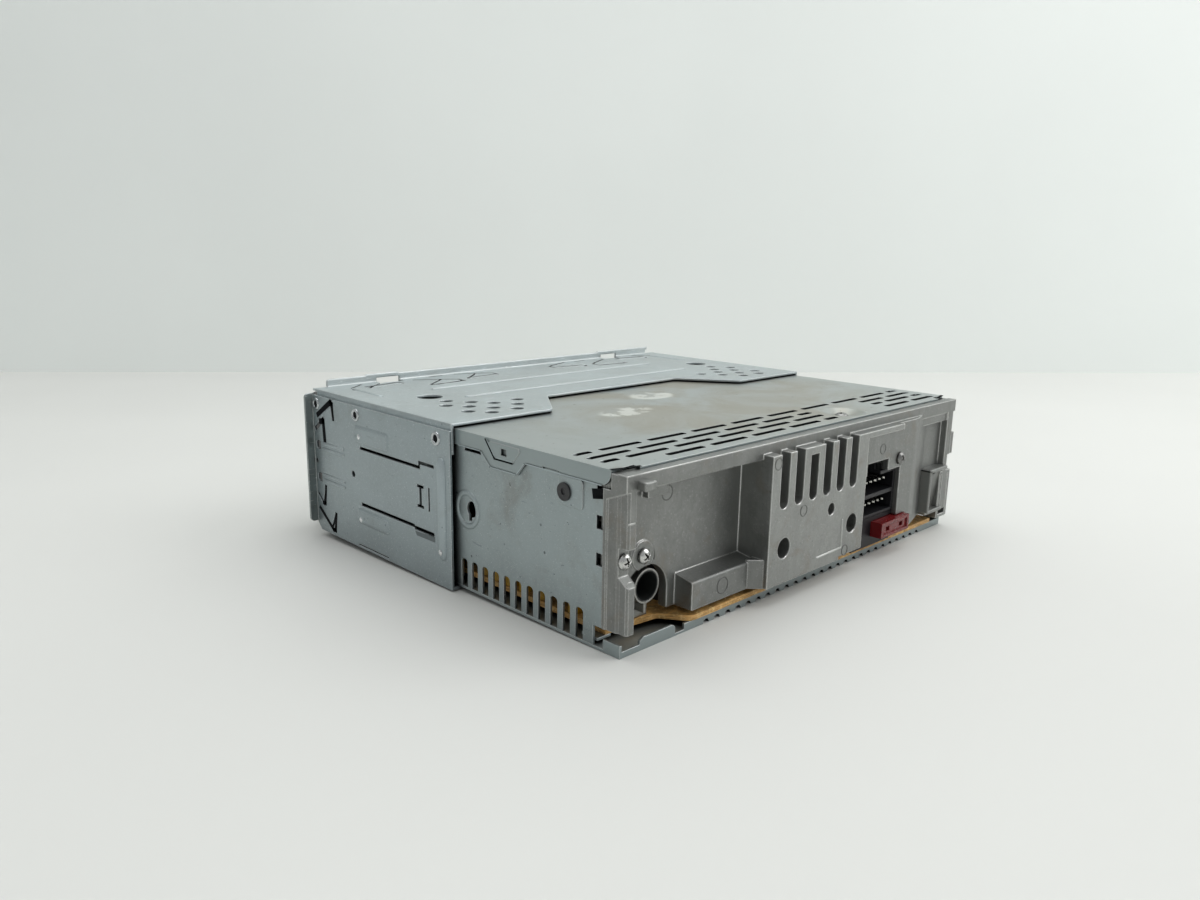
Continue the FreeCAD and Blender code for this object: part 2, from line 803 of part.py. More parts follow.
def fuse_body():
    """Blade fuse: coloured cap with a lowered middle panel."""
    half = fuse_width / 2
    body = block(
        (fuse_x - half, fuse_x + half), (fuse_rear_y - fuse_depth, fuse_rear_y),
        (fuse_z - fuse_thick / 2, fuse_z + fuse_thick / 2),
    )
    panel = block(
        (fuse_x - half + 1.2, fuse_x + half - 1.2), (fuse_rear_y - 0.5, fuse_rear_y + 1),
        (fuse_z - fuse_thick / 2 + 1.0, fuse_z + fuse_thick / 2 - 1.0),
    )
    body = body.cut(panel)
    for x in (fuse_x - 4.5, fuse_x + 4.5):
        port = block((x - 1.2, x + 1.2), (fuse_rear_y - 1.4, fuse_rear_y + 1), (fuse_z - 0.8, fuse_z + 0.8))
        body = body.cut(port)
    blade = block((fuse_x - 7.4, fuse_x + 7.4), (0, fuse_rear_y - 4.0), (fuse_z - 0.35, fuse_z + 0.35))
    return body.cut(blade)


def fuse_blades():
    """Two blades and the link between them, cast into the cap."""
    top = fuse_rear_y - 4.0
    strips = []
    for side in (-1, 1):
        x = sorted((fuse_x + side * 2.2, fuse_x + side * 7.4))
        strips.append(
            block((x[0], x[1]), (fuse_rear_y - fuse_depth - 7.0, top), (fuse_z - 0.32, fuse_z + 0.32))
        )
    link = block((fuse_x - 2.4, fuse_x + 2.4), (top - 1.5, top), (fuse_z - 0.32, fuse_z + 0.32))
    return joined(strips + [link])


def amplifier_chip():
    """Amplifier with its legs, held flat against the block."""
    body = block((-14.0, 22.0), (web_y - 4.6, web_y), (10.0, 21.0))
    legs = []
    for index in range(12):
        x = -11.5 + index * 2.8
        legs.append(block((x - 0.35, x + 0.35), (web_y - 3.0, web_y - 2.5), (board_top, 10.1)))
    return joined([body] + legs)


def can(x, y, radius, height):
    """Electrolytic capacitor with a rolled groove."""
    z = board_top
    return revolve_z(
        [
            (0, z), (radius, z), (radius, z + 1.6), (radius - 0.35, z + 1.9), (radius, z + 2.3),
            (radius, z + height - 0.4), (radius - 0.4, z + height), (0, z + height),
        ],
        (x, y),
    )


def filter_capacitors():
    """Large upright capacitors of the supply, near the amplifier and the plug."""
    places = (
        (block_left + 7.0, 62.0, 6.0, 16.0), (aerial_x - 18.8, 64.5, 5.0, 12.0),
        (frame_x + 15.0, 65.0, 6.0, 15.0),
    )
    return [can(x, y, radius, height) for x, y, radius, height in places]


def small_capacitors():
    """Row of small parts just inside the side slots, and a few more across the board."""
    pieces = []
    for index, y in enumerate((16.0, 22.5, 28.5, 35.0, 42.5, 56.5, 63.5)):
        pieces.append(rod(2.3, (side_in - 5.7, y, board_top), Z, 5.0 + (index % 3)))
    for x, y in ((-75.0, 30.0), (-75.0, 12.0), (-66.0, 38.0), (20.0, 56.0), (30.0, 47.0)):
        pieces.append(rod(3.0, (x, y, board_top), Z, 7.0))
    return pieces


def tuner_module():
    """Screened radio tuner beside the aerial socket."""
    left = aerial_x - 31.3
    right = aerial_x - 8.8
    box = block((left, right), (0.0, 42.0), (board_top, 15.0))
    lid = block((left - 0.4, right + 0.4), (-0.4, 42.4), (15.0, 15.6))
    holes = []
    for index in range(4):
        holes.append(rod(1.6, (left + 11.2, 7.0 + index * 9.0, 14.8), Z, 2))
    return joined([box, lid]).cut(Part.makeCompound(holes))


# Disc mechanism

guide_wall = base_steel
guide_in = base_half_width - guide_wall
idler_teeth = 24
roller_teeth = 18
pinion_teeth = 10
gear_x = base_half_width + 0.6
roller_pitch = gear_module * roller_teeth / 2
idler_pitch = gear_module * idler_teeth / 2
pinion_pitch = gear_module * pinion_teeth / 2
idler_y = roller_y + (roller_pitch + idler_pitch) * math.cos(math.radians(50))
idler_z = roller_z - (roller_pitch + idler_pitch) * math.sin(math.radians(50))
pinion_y = idler_y + (idler_pitch + pinion_pitch) * math.cos(math.radians(15))
pinion_z = idler_z - (idler_pitch + pinion_pitch) * math.sin(math.radians(15))
stub_radius = 1.2
motor_radius = 7.5
motor_length = 20.0
motor_shaft_radius = 0.9
motor_shaft_depth = 6.0
spindle_shaft = 1.0
spindle_motor_radius = 12.0
sled_gear_radius = gear_module * sled_gear_teeth / 2
rack_x = rail_x + 8.0
sled_gear_x = rack_x + sled_gear_radius
sled_gear_y = sled_start_y + 12.5
rack_overrun = 3.5
sled_motor_radius = 9.0


def mech_base():
    """Pressed base of the mechanism with its side walls, seats and bearing holes."""
    top = base_z + base_steel
    plate = block((-base_half_width, base_half_width), (base_front_y, base_rear_y), (base_z, top))
    wall_outline = [
        (base_front_y, base_z), (base_rear_y, base_z), (base_rear_y, top + 6.0, 2), (44.0, top + 6.0, 2),
        (36.0, top_frame_z, 2), (base_front_y, top_frame_z),
    ]
    right = prism_x(wall_outline, guide_in, base_half_width)
    left = prism_x(wall_outline, -base_half_width, -guide_in)
    cuts = [
        rod(shaft_radius + running_gap, (-beyond, roller_y, roller_z), X, 2 * beyond),
        rod(spindle_shaft + 1.6, (0, spindle_y, base_z - 1), Z, 4),
        rod(1.6, (sled_gear_x, sled_gear_y, base_z - 1), Z, 4),
    ]
    cuts.append(prism_z(rectangle((-46, -30), (-44, 0), 3), base_z - 1, top + 1))
    cuts.append(prism_z(rectangle((-46, -34), (14, 60), 3), base_z - 1, top + 1))
    cuts.append(prism_z(rectangle((-16, 16), (18, 64), 3), base_z - 1, top + 1))
    cuts.append(prism_z(rectangle((-18, 18), (-54, -24), 3), base_z - 1, top + 1))
    seats = []
    for x in (-rail_x, rail_x):
        for y in (rod_front_y + 1.0, base_rear_y - 2.0):
            seats.append(block((x - 2.5, x + 2.5), (y - 1.0, y + 1.0), (top - 0.2, rail_z + 2.2)))
    stub = rod(stub_radius, (base_half_width - 0.2, idler_y, idler_z), X, gear_width + 1.2)
    wall_x = (guide_in, base_half_width)
    bracket = block(wall_x, (pinion_y - 9, pinion_y + 9), (pinion_z - 9, base_z + 0.1))
    low_wall = block(wall_x, (idler_y - 4, pinion_y - 8), (idler_z - 4, base_z + 0.1))
    motor_hole = rod(2.2, (base_half_width - 5, pinion_y, pinion_z), X, 12)
    rails = [rod(rail_radius, (x, rod_front_y, rail_z), Y, beyond) for x in (-rail_x, rail_x)]
    body = joined([plate, right, left, stub, bracket, low_wall] + seats)
    return body.cut(Part.makeCompound(cuts)).cut(motor_hole).cut(Part.makeCompound(rails))


def mech_dampers():
    """Four rubber dampers between the chassis tabs and the mechanism."""
    pieces = []
    for x in (-damper_x, damper_x):
        for y in damper_ys:
            low = damper_low
            high = base_z
            pieces.append(
                revolve_z(
                    [
                        (0, low), (damper_radius, low), (damper_radius, low + 2.4),
                        (damper_radius - 1.6, low + 4.0), (damper_radius, high - 2.4),
                        (damper_radius, high), (0, high),
                    ],
                    (x, y),
                )
            )
    return pieces


def mech_top_frame():
    """Bridge over the disc, open in the middle for the clamp arm."""
    y = (base_front_y, 36.0)
    plate = block((-base_half_width, base_half_width), y, (top_frame_z, top_frame_z + base_steel))
    opening = prism_z(rectangle((-24, 24), (-30, 60), 4), top_frame_z - 1, top_frame_z + 3)
    top = top_frame_z + base_steel
    ribs = both_sides(block((40, 46), (y[0] + 6, y[1] - 6), (top, top + 0.8)))
    ear_outline = [
        (30, top_frame_z - 4), (54, arm_z - 2.0, 2), (54, arm_z + 3.6, 2), (30, top_frame_z + 0.2),
    ]
    ears = both_sides(prism_x(ear_outline, 25.0, 26.0))
    pivot = rod(1.0 + running_gap, (-40, arm_pivot_y, arm_z + 0.4), X, 80)
    return joined([plate.cut(opening)] + ribs + ears).cut(pivot)


def clamp_arm():
    """Arm over the disc that carries the clamper, hinged at its rear."""
    front = spindle_y - 13.0
    plate = prism_z(
        [
            (-21.0, arm_pivot_y + 2), (-21.0, 30.0, 6), (-13.0, 14.0, 6), (-13.0, front, 6),
            (13.0, front, 6), (13.0, 14.0, 6), (21.0, 30.0, 6), (21.0, arm_pivot_y + 2),
        ],
        arm_z, arm_z + 0.8,
    )
    hole = rod(4.0, (0, spindle_y, arm_z - 1), Z, 3)
    window = prism_z(rectangle((-7, 7), (18, 40), 3), arm_z - 1, arm_z + 2)
    barrel = rod(1.0, (-27.5, arm_pivot_y, arm_z + 0.4), X, 55)
    knuckle = rod(1.9, (-21, arm_pivot_y, arm_z + 0.4), X, 42)
    return joined([plate.cut(hole).cut(window), barrel, knuckle])


def clamper():
    """Turned disc hanging in the arm's hole, with a cap above."""
    low = disc_z + 1.2 + 0.2
    return revolve_z(
        [
            (0, low), (13.0, low), (13.0, low + 0.9), (6.0, low + 1.8), (3.7, low + 1.8),
            (3.7, arm_z + 1.1), (6.5, arm_z + 1.1), (6.5, arm_z + 1.8), (0, arm_z + 1.8),
        ],
        (0, spindle_y),
    )


def turntable():
    """Table, centring cone and the motor shaft pressed into them."""
    low = base_z + base_steel + 3.0
    return revolve_z(
        [
            (0, base_z - 7.0), (spindle_shaft, base_z - 7.0), (spindle_shaft, low), (6.0, low),
            (6.0, disc_z - 2.0), (14.5, disc_z - 1.2), (14.5, disc_z), (7.3, disc_z), (6.6, disc_z + 0.9),
            (0, disc_z + 0.9),
        ],
        (0, spindle_y),
    )


def spindle_motor():
    """Flat motor under the base with its bearing tube."""
    low = base_z - 8.5
    body = rod(spindle_motor_radius, (0, spindle_y, low), Z, base_z - low)
    tube = rod(2.4, (0, spindle_y, base_z - 0.2), Z, 3.0)
    bore = rod(spindle_shaft + running_gap, (0, spindle_y, base_z - 7.0 - running_gap), Z, 20)
    return body.fuse(tube).cut(bore)


def sled_motor():
    """Small motor under the base that drives the sled's rack."""
    low = base_z - 8.0
    body = rod(sled_motor_radius, (sled_gear_x, sled_gear_y, low), Z, base_z - low)
    bore_low = base_z - 6.5 - running_gap
    bore = rod(motor_shaft_radius + running_gap, (sled_gear_x, sled_gear_y, bore_low), Z, 20)
    return body.cut(bore)


def sled_gear():
    """Pinion on the sled motor's shaft."""
    low = rail_z - 1.6
    wheel = prism_z(toothed_outline(sled_gear_teeth, gear_module, 0.0), low, low + gear_width)
    wheel.translate(V(sled_gear_x, sled_gear_y, 0))
    shaft_low = base_z - 6.5
    shaft = rod(motor_shaft_radius, (sled_gear_x, sled_gear_y, shaft_low), Z, low + gear_width - shaft_low)
    return wheel.fuse(shaft)


def pickup_sled():
    """Sled with its rail bore, fork and rack."""
    low = base_z + base_steel + 0.8
    high = 32.6
    y = (sled_start_y - sled_length / 2, sled_start_y + sled_length / 2)
    body = prism_z(
        [
            (-rail_x - 3.4, y[0]), (rail_x + 3.0, y[0]), (rail_x + 3.0, y[1]), (8, y[1]), (4, y[1] - 4),
            (-14, y[1] - 4), (-18, y[1]), (-rail_x - 3.4, y[1]),
        ],
        low, high,
    )
    well = block((-8, 8), (y[0] + 3, y[1] - 7), (high - 3.0, high + 1))
    bore = rod(rail_radius + running_gap, (-rail_x, y[0] - 1, rail_z), Y, sled_length + 2)
    fork = block(
        (rail_x - rail_radius - 0.1, rail_x + 8), (y[0] - 1, y[1] + 1),
        (rail_z - rail_radius - 0.1, rail_z + rail_radius + 0.1),
    )
    rack_low = sled_gear_y - sled_travel - rack_overrun
    rack_high = sled_gear_y + rack_overrun
    tooth_pitch = math.pi * gear_module
    rack_z = (rail_z - 1.4, rail_z - 1.4 + gear_width - 0.4)
    carrier = block(
        (rail_x + 2.9, rack_x - 1.6), (y[0], y[1]), (low, rail_z - rail_radius - 0.1)
    )
    bar = block((rail_x + 4.2, rack_x - 1.1), (rack_low, rack_high), rack_z)
    bar = bar.cut(block((rail_x, rail_x + 5), (-beyond, beyond), (0, beyond)))
    teeth = []
    count = int((rack_high - rack_low) / tooth_pitch / 2)
    for index in range(-2 * count, 2 * count + 1):
        centre = sled_gear_y + index * tooth_pitch
        if rack_low + 0.9 < centre < rack_high - 0.9:
            teeth.append(
                prism_z(
                    [
                        (rack_x - 1.2, centre - 0.8), (rack_x + 0.72, centre - 0.32),
                        (rack_x + 0.72, centre + 0.32), (rack_x - 1.2, centre + 0.8),
                    ],
                    rack_z[0], rack_z[1],
                )
            )
    return joined([body.cut(well).cut(bore).cut(fork), carrier, bar] + teeth)


def pickup_lens():
    """Lens holder and lens in the sled's well."""
    y = sled_start_y - 2.0
    holder = block((-5, 5), (y - 4.5, y + 4.5), (29.6, 33.4))
    lens = revolve_z([(0, 33.4), (2.6, 33.4), (2.2, 34.2), (0, 34.8)], (0, y))
    return [holder, lens]


def guide_rods():
    """Two ground rods that the sled runs on."""
    length = base_rear_y - 1.0 - rod_front_y
    return [rod(rail_radius, (x, rod_front_y, rail_z), Y, length) for x in (-rail_x, rail_x)]


def disc_guide():
    """Upper guide with shallow ribs that keep the disc off it."""
    high = top_frame_z
    low = slot_z + slot_height + 0.4
    half = guide_in - 1.3
    body = prism_z(rectangle((-half, half), (base_front_y, base_front_y + 16.0), 3), low, high)
    relief = prism_z(
        [(-40, -49), (-40, -53, 8), (0, -60, 30), (40, -53, 8), (40, -49)], low - 1, high + 1
    )
    return body.cut(relief)


def loading_roller():
    """Rubber sleeves, thinner towards the middle so the disc centres itself."""
    shapes = []
    rubber_end = guide_in - 3.5
    for side in (-1, 1):
        points = [
            (side * 1.0, shaft_radius), (side * rubber_end, shaft_radius), (side * rubber_end, 3.6),
            (side * (rubber_end - 0.4), 4.0), (side * 1.0, 3.1),
        ]
        face = flat_face(points, lambda p: V(p.x, roller_y + p.y, roller_z))
        shapes.append(face.revolve(V(0, roller_y, roller_z), X, 360))
    return shapes


def roller_shaft():
    """Steel shaft through both side walls."""
    return rod(shaft_radius, (-base_half_width - 1.5, roller_y, roller_z), X, 2 * base_half_width + 6.0)


def spur(teeth, phase, y, z, bore):
    """Spur gear beside the right wall of the mechanism."""
    low = gear_x
    face = flat_face(toothed_outline(teeth, gear_module, phase), lambda p: V(low, y + p.x, z + p.y))
    wheel = face.extrude(X * gear_width)
    return wheel.cut(rod(bore, (low - 1, y, z), X, gear_width + 2))


def gear_train():
    """Roller gear, idler and motor pinion, meshed tooth to gap."""
    angle_a = math.atan2(idler_z - roller_z, idler_y - roller_y)
    angle_b = math.atan2(pinion_z - idler_z, pinion_y - idler_y)
    idler_step = 2 * math.pi / idler_teeth
    idler_phase = angle_a + math.pi + idler_step / 2
    turned = (angle_b - idler_phase) / idler_step
    pinion_step = 2 * math.pi / pinion_teeth
    share = turned - math.floor(turned)
    pinion_phase = angle_b + math.pi + pinion_step / 2 + share * pinion_step
    roller_wheel = spur(roller_teeth, angle_a, roller_y, roller_z, shaft_radius)
    idler = spur(idler_teeth, idler_phase, idler_y, idler_z, stub_radius + running_gap)
    pinion = spur(pinion_teeth, pinion_phase, pinion_y, pinion_z, 0.5)
    shaft_length = motor_shaft_depth + guide_wall + 0.6 + gear_width
    shaft_start = (guide_in - motor_shaft_depth, pinion_y, pinion_z)
    pinion = pinion.fuse(rod(motor_shaft_radius, shaft_start, X, shaft_length))
    return roller_wheel, idler, pinion


def loading_motor():
    """Motor on the inside of the wall, its shaft through the motor hole."""
    body = rod(motor_radius, (guide_in - motor_length, pinion_y, pinion_z), X, motor_length)
    bore_start = guide_in - motor_shaft_depth - 0.5
    bore = rod(motor_shaft_radius + running_gap, (bore_start, pinion_y, pinion_z), X, 8)
    return body.cut(bore)


def ribbon_cable():
    """Flat cable folded down from the mechanism to the board."""
    half = 0.15
    path = [
        (-30.0, base_z - half), (-58.0, base_z - half), (-58.0, 14.0), (-52.0, board_top + 2.0),
        (-52.0, board_top),
    ]
    return prism_x(stroke(path, 2 * half), -22.0, -18.0)


# Front

slot_low_z = slot_z
slot_high_z = slot_z + slot_height
button_depth = 5.0
window_x = (-38.0, 34.0)
window_z = (15.0, 32.0)
preset_z = (5.6, 10.6)
preset_width = 10.6
preset_pitch = 12.0
preset_start = -36.4
source_x = (42.0, 54.0)
eject_x = (58.0, 70.0)
upper_keys_z = (27.0, 32.5)
rocker_x = (44.0, 68.0)
rocker_z = (13.0, 21.0)
release_x = (face_half_width - 11.5, face_half_width - 4.0)
release_z = (27.5, 32.5)
lug_z = (8.0, 42.0)
keys_rear_y = face_front_y + face_wall + 3.0
face_board_thick = 1.2
contact_count = 12
contact_pitch = 2.4


def slot_outline():
    """Disc slot as seen from the front."""
    return rectangle((-slot_half_width, slot_half_width), (slot_low_z, slot_high_z), 1.0)


def front_carrier():
    """Moulded frame on the chassis front, with the disc slot and the face's bearings."""
    front = carrier_rear_y - carrier_thick
    body = prism_y(
        rectangle((-face_half_width, face_half_width), (face_low, face_high), 3.0), front, carrier_rear_y
    )
    slot = prism_y(slot_outline(), front - 1, 0)
    bay = prism_y(
        rectangle((-50.0, 68.0), (6.0, 33.5), 2.0), front - 1, front + 2.4
    )
    plug = prism_y(
        rectangle(
            (-socket_half_length, socket_half_length),
            (socket_z - socket_height / 2, socket_z + socket_height / 2), 0.5,
        ),
        front, 0,
    )
    step = block((-face_half_width - 1, pivot_x + 4.5), (front - 1, pivot_y + 0.2), (0, beyond))
    room = block((-face_half_width - 1, pivot_x + 3.4), (front - 1, 0), lug_z)
    body = body.cut(slot).cut(bay).cut(plug).cut(step).cut(room)
    pin = rod(pivot_radius, (pivot_x, pivot_y, lug_z[0] - 1), Z, lug_z[1] - lug_z[0] + 2)
    lugs = []
    for low, high in ((lug_z[0] - 2.5, lug_z[0]), (lug_z[1], lug_z[1] + 2.5)):
        lugs.append(rod(pivot_radius + 0.5, (pivot_x, pivot_y, low), Z, high - low))
        lugs.append(block((pivot_x - 1.9, pivot_x + 1.9), (pivot_y, carrier_rear_y), (low, high)))
    return joined([body, pin] + lugs)


def face_socket():
    """Contact strip that meets the back of the face."""
    front = carrier_rear_y - carrier_thick + 2.4
    half = socket_height / 2
    body = block(
        (-socket_half_length + 0.2, socket_half_length - 0.2), (front, front_y + 6.0),
        (socket_z - half + 0.2, socket_z + half - 0.2),
    )
    ribs = []
    rib_y = (front - 4.0, front + 0.1)
    for x in contact_places():
        ribs.append(block((x - 0.5, x + 0.5), rib_y, (socket_z - 1.6, socket_z + 1.6)))
    return joined([body] + ribs)


def contact_places():
    """Middle of every contact that joins the face to the chassis."""
    return [(index - (contact_count - 1) / 2) * contact_pitch for index in range(contact_count)]


def key_holes(gap):
    """Rectangles of every key in the face, grown by a gap."""
    spans = []
    for index in range(6):
        start = preset_start + index * preset_pitch
        spans.append(((start, start + preset_width), preset_z))
    spans.append((source_x, upper_keys_z))
    spans.append((eject_x, upper_keys_z))
    spans.append((rocker_x, rocker_z))
    spans.append((release_x, release_z))
    grown = []
    for x, z in spans:
        grown.append(((x[0] - gap, x[1] + gap), (z[0] - gap, z[1] + gap)))
    return grown


def face_shell():
    """Moulded face: bevelled front, key and window openings, disc tunnel, hinge ears."""
    front = face_front_y
    rear = face_rear_y - face_wall
    x = face_half_width
    outer = prism_y(rectangle((-x, x), (face_low, face_high), 3.0), front, rear)
    bevel = []
    for edge in outer.Edges:
        if abs(edge.CenterOfMass.y - front) < 1e-4:
            bevel.append(edge)
    outer = outer.makeChamfer(1.2, bevel)
    inner = prism_y(
        rectangle((-x + face_wall, x - face_wall), (face_low + face_wall, face_high - face_wall), 1.5),
        front + face_wall, rear + 1,
    )
    tunnel = block(
        (-slot_half_width - face_wall, slot_half_width + face_wall), (front + face_wall, rear),
        (slot_low_z - face_wall, slot_high_z + face_wall),
    )
    shell = joined([outer.cut(inner), tunnel.common(outer)])
    cuts = [
        prism_y(slot_outline(), front - 1, rear + 1),
        prism_y(rectangle(window_x, window_z, 1.5), front - 1, front + face_wall + 0.5),
        rod(knob_radius + 0.5, (knob_x, front - 1, knob_z), Y, face_wall + 2),
    ]
    for hole_x, hole_z in key_holes(button_gap):
        cuts.append(prism_y(rectangle(hole_x, hole_z, 0.8), front - 1, front + face_wall + 1))
    return shell.cut(Part.makeCompound(cuts))


def face_back():
    """Back of the face with the contact window and the two hinge knuckles."""
    rear = face_rear_y
    x = face_half_width
    plate = prism_y(rectangle((-x, x), (face_low, face_high), 3.0), rear - face_wall, rear)
    slot = prism_y(slot_outline(), rear - 3, rear + 1)
    contact = block((-14.5, 14.5), (rear - 3, rear + 1), (socket_z - 2.2, socket_z + 2.2))
    plate = plate.cut(slot).cut(contact)
    knuckles = []
    for z in ((10.0, 15.0), (34.0, 39.0)):
        arm = block((pivot_x - 2.4, pivot_x + 2.4), (rear - 0.5, pivot_y), z)
        knuckle = rod(2.4, (pivot_x, pivot_y, z[0]), Z, z[1] - z[0])
        pin_hole = rod(pivot_radius + running_gap, (pivot_x, pivot_y, 0), Z, beyond)
        knuckles.append(arm.fuse(knuckle).cut(pin_hole))
    return joined([plate] + knuckles)


def display_window():
    """Clear window in the face."""
    front = face_front_y + 0.3
    pane = prism_y(
        rectangle((window_x[0] + 0.1, window_x[1] - 0.1), (window_z[0] + 0.1, window_z[1] - 0.1), 1.4),
        front, front + 1.5,
    )
    flange = block(
        (window_x[0] - 1.5, window_x[1] + 1.5), (face_front_y + face_wall, face_front_y + face_wall + 0.6),
        (window_z[0] - 1.5, window_z[1] + 1.5),
    )
    return pane.fuse(flange).removeSplitter()


def display_panel():
    """Display glass behind the window."""
    front = face_front_y + face_wall + 0.6
    return block(
        (window_x[0] - 1, window_x[1] + 1), (front, face_board_front()), (window_z[0] - 1, window_z[1] + 1)
    )


def face_board_front():
    """Front plane of the face's board."""
    return face_rear_y - face_wall - face_board_thick


def face_board():
    """Board that the keys press on, below the disc tunnel."""
    front = face_board_front()
    x = face_half_width - face_wall - 0.5
    rear = front + face_board_thick
    board = block((-x, x), (front, rear), (face_low + face_wall + 0.8, slot_low_z - face_wall - 0.4))
    contacts = []
    for centre in contact_places():
        contacts.append(
            block((centre - 0.6, centre + 0.6), (rear, rear + 0.2), (socket_z - 1.8, socket_z + 1.8))
        )
    return joined([board] + contacts)


def key(x, z):
    """One sprung key with a collar behind the face's front wall."""
    front = face_front_y - button_proud
    cap = prism_y(rectangle(x, z, 0.7), front, face_front_y + face_wall + 0.4)
    collar = block(
        (x[0] - 0.6, x[1] + 0.6), (face_front_y + face_wall + 0.05, face_front_y + face_wall + 0.9),
        (z[0] - 0.6, z[1] + 0.6),
    )
    middle_x = (x[0] + x[1]) / 2
    middle_z = (z[0] + z[1]) / 2
    stem_rear = face_board_front() - button_stroke - 0.1
    stem = rod(1.4, (middle_x, face_front_y + face_wall, middle_z), Y, stem_rear - face_front_y - face_wall)
    return joined([cap, collar, stem])


def release_button():
    """Key that frees the face."""
    return key(release_x, release_z)


def search_rocker():
    """Two-way rocker on an upright pivot line through its middle."""
    middle = (rocker_x[0] + rocker_x[1]) / 2
    front = face_front_y - button_proud
    wall_rear = face_front_y + face_wall
    left = rocker_x[0] + 0.5
    right = rocker_x[1] - 0.5
    cap = prism_z(
        [
            (left, front + 0.8), (middle, front - 0.2), (right, front + 0.8), (right, wall_rear + 0.2),
            (left, wall_rear + 0.2),
        ],
        rocker_z[0] + 0.2, rocker_z[1] - 0.2,
    )
    stem = block(
        (middle - 2.0, middle + 2.0), (wall_rear, rocker_pivot_y() + 1.2), (rocker_z[0] + 1, rocker_z[1] - 1)
    )
    pivot = rod(0.9, (middle, rocker_pivot_y(), rocker_z[0] - 1.5), Z, rocker_z[1] - rocker_z[0] + 3.0)
    return joined([cap, stem, pivot])


def rocker_pivot_y():
    """Depth of the rocker's pivot line."""
    return face_front_y + face_wall + 3.0


def knob_encoder():
    """Rotary encoder on the face's board."""
    rear = face_board_front()
    body = block((knob_x - 6, knob_x + 6), (rear - 3.4, rear), (knob_z - 6, knob_z + 6))
    neck = ring(3.4, 2.0 + running_gap, (knob_x, rear - 4.6, knob_z), Y, 1.4)
    bore = rod(2.0 + running_gap, (knob_x, rear - 5.0, knob_z), Y, 4.6)
    return body.fuse(neck).cut(bore)


def volume_knob():
    """Knurled knob with a hollow skirt, on its own spindle."""
    front = face_front_y - knob_reach
    rear = face_front_y + face_wall - 0.3
    body = revolve_y(
        [
            (0, front + 0.4), (knob_radius - 2.4, front), (knob_radius - 0.6, front + 0.6),
            (knob_radius - 0.2, front + 1.4), (knob_radius, rear), (knob_radius - 1.6, rear),
            (knob_radius - 1.6, front + 2.6), (0, front + 2.6),
        ],
        (knob_x, knob_z),
    )
    spindle = rod(2.0, (knob_x, front + 2.4, knob_z), Y, face_board_front() - 0.6 - front - 2.4)
    grooves = []
    for index in range(knob_grooves):
        angle = 2 * math.pi * index / knob_grooves
        groove = block((knob_radius - 0.45, knob_radius + 1), (front + 1.6, front + 5.2), (-0.5, 0.5))
        groove.rotate(V(0, 0, 0), Y, math.degrees(-angle))
        groove.translate(V(knob_x, 0, knob_z))
        grooves.append(groove)
    return body.fuse(spindle).cut(Part.makeCompound(grooves))


# Mounting sleeve

tongue_slots = (((-42.7, -7.0), (34.6, 35.7)), ((-43.0, -10.0), (14.6, 15.8)))
claw_width = 1.2
open_claw_width = 1.8
side_rivets = ((-72.4, 46.3), (-44.7, 46.2), (2.9, 46.0))
top_holes = (
    (58.5, 2.0), (69.0, 2.2), (53.0, -4.5), (63.5, -4.0), (74.0, -3.5), (47.5, -11.5), (58.0, -11.0),
    (68.5, -10.5), (63.0, -17.0), (73.5, -16.5), (68.5, -23.5),
)
top_hole_radius = 2.35
big_hole = (68.0, -34.0)
big_hole_radius = 4.5
root_window_x = (54.5, 64.5)
root_window_reach = 4.5


def side_claws():
    """Bend-out claws in the sleeve's side, as a width and (y, z) lines cut through the sheet."""
    return [
        (open_claw_width, [(-71.5, 42.6), (-61.5, 48.2), (-60.2, 42.6)]),
        (open_claw_width, [(-73.9, 36.8), (-68.0, 41.0), (-66.9, 34.0)]),
        (claw_width, [(-73.9, 12.9), (-70.0, 9.4), (-67.8, 16.5)]),
        (claw_width, [(-73.0, 7.2), (-64.4, 1.4), (-61.5, 7.2)]),
    ]


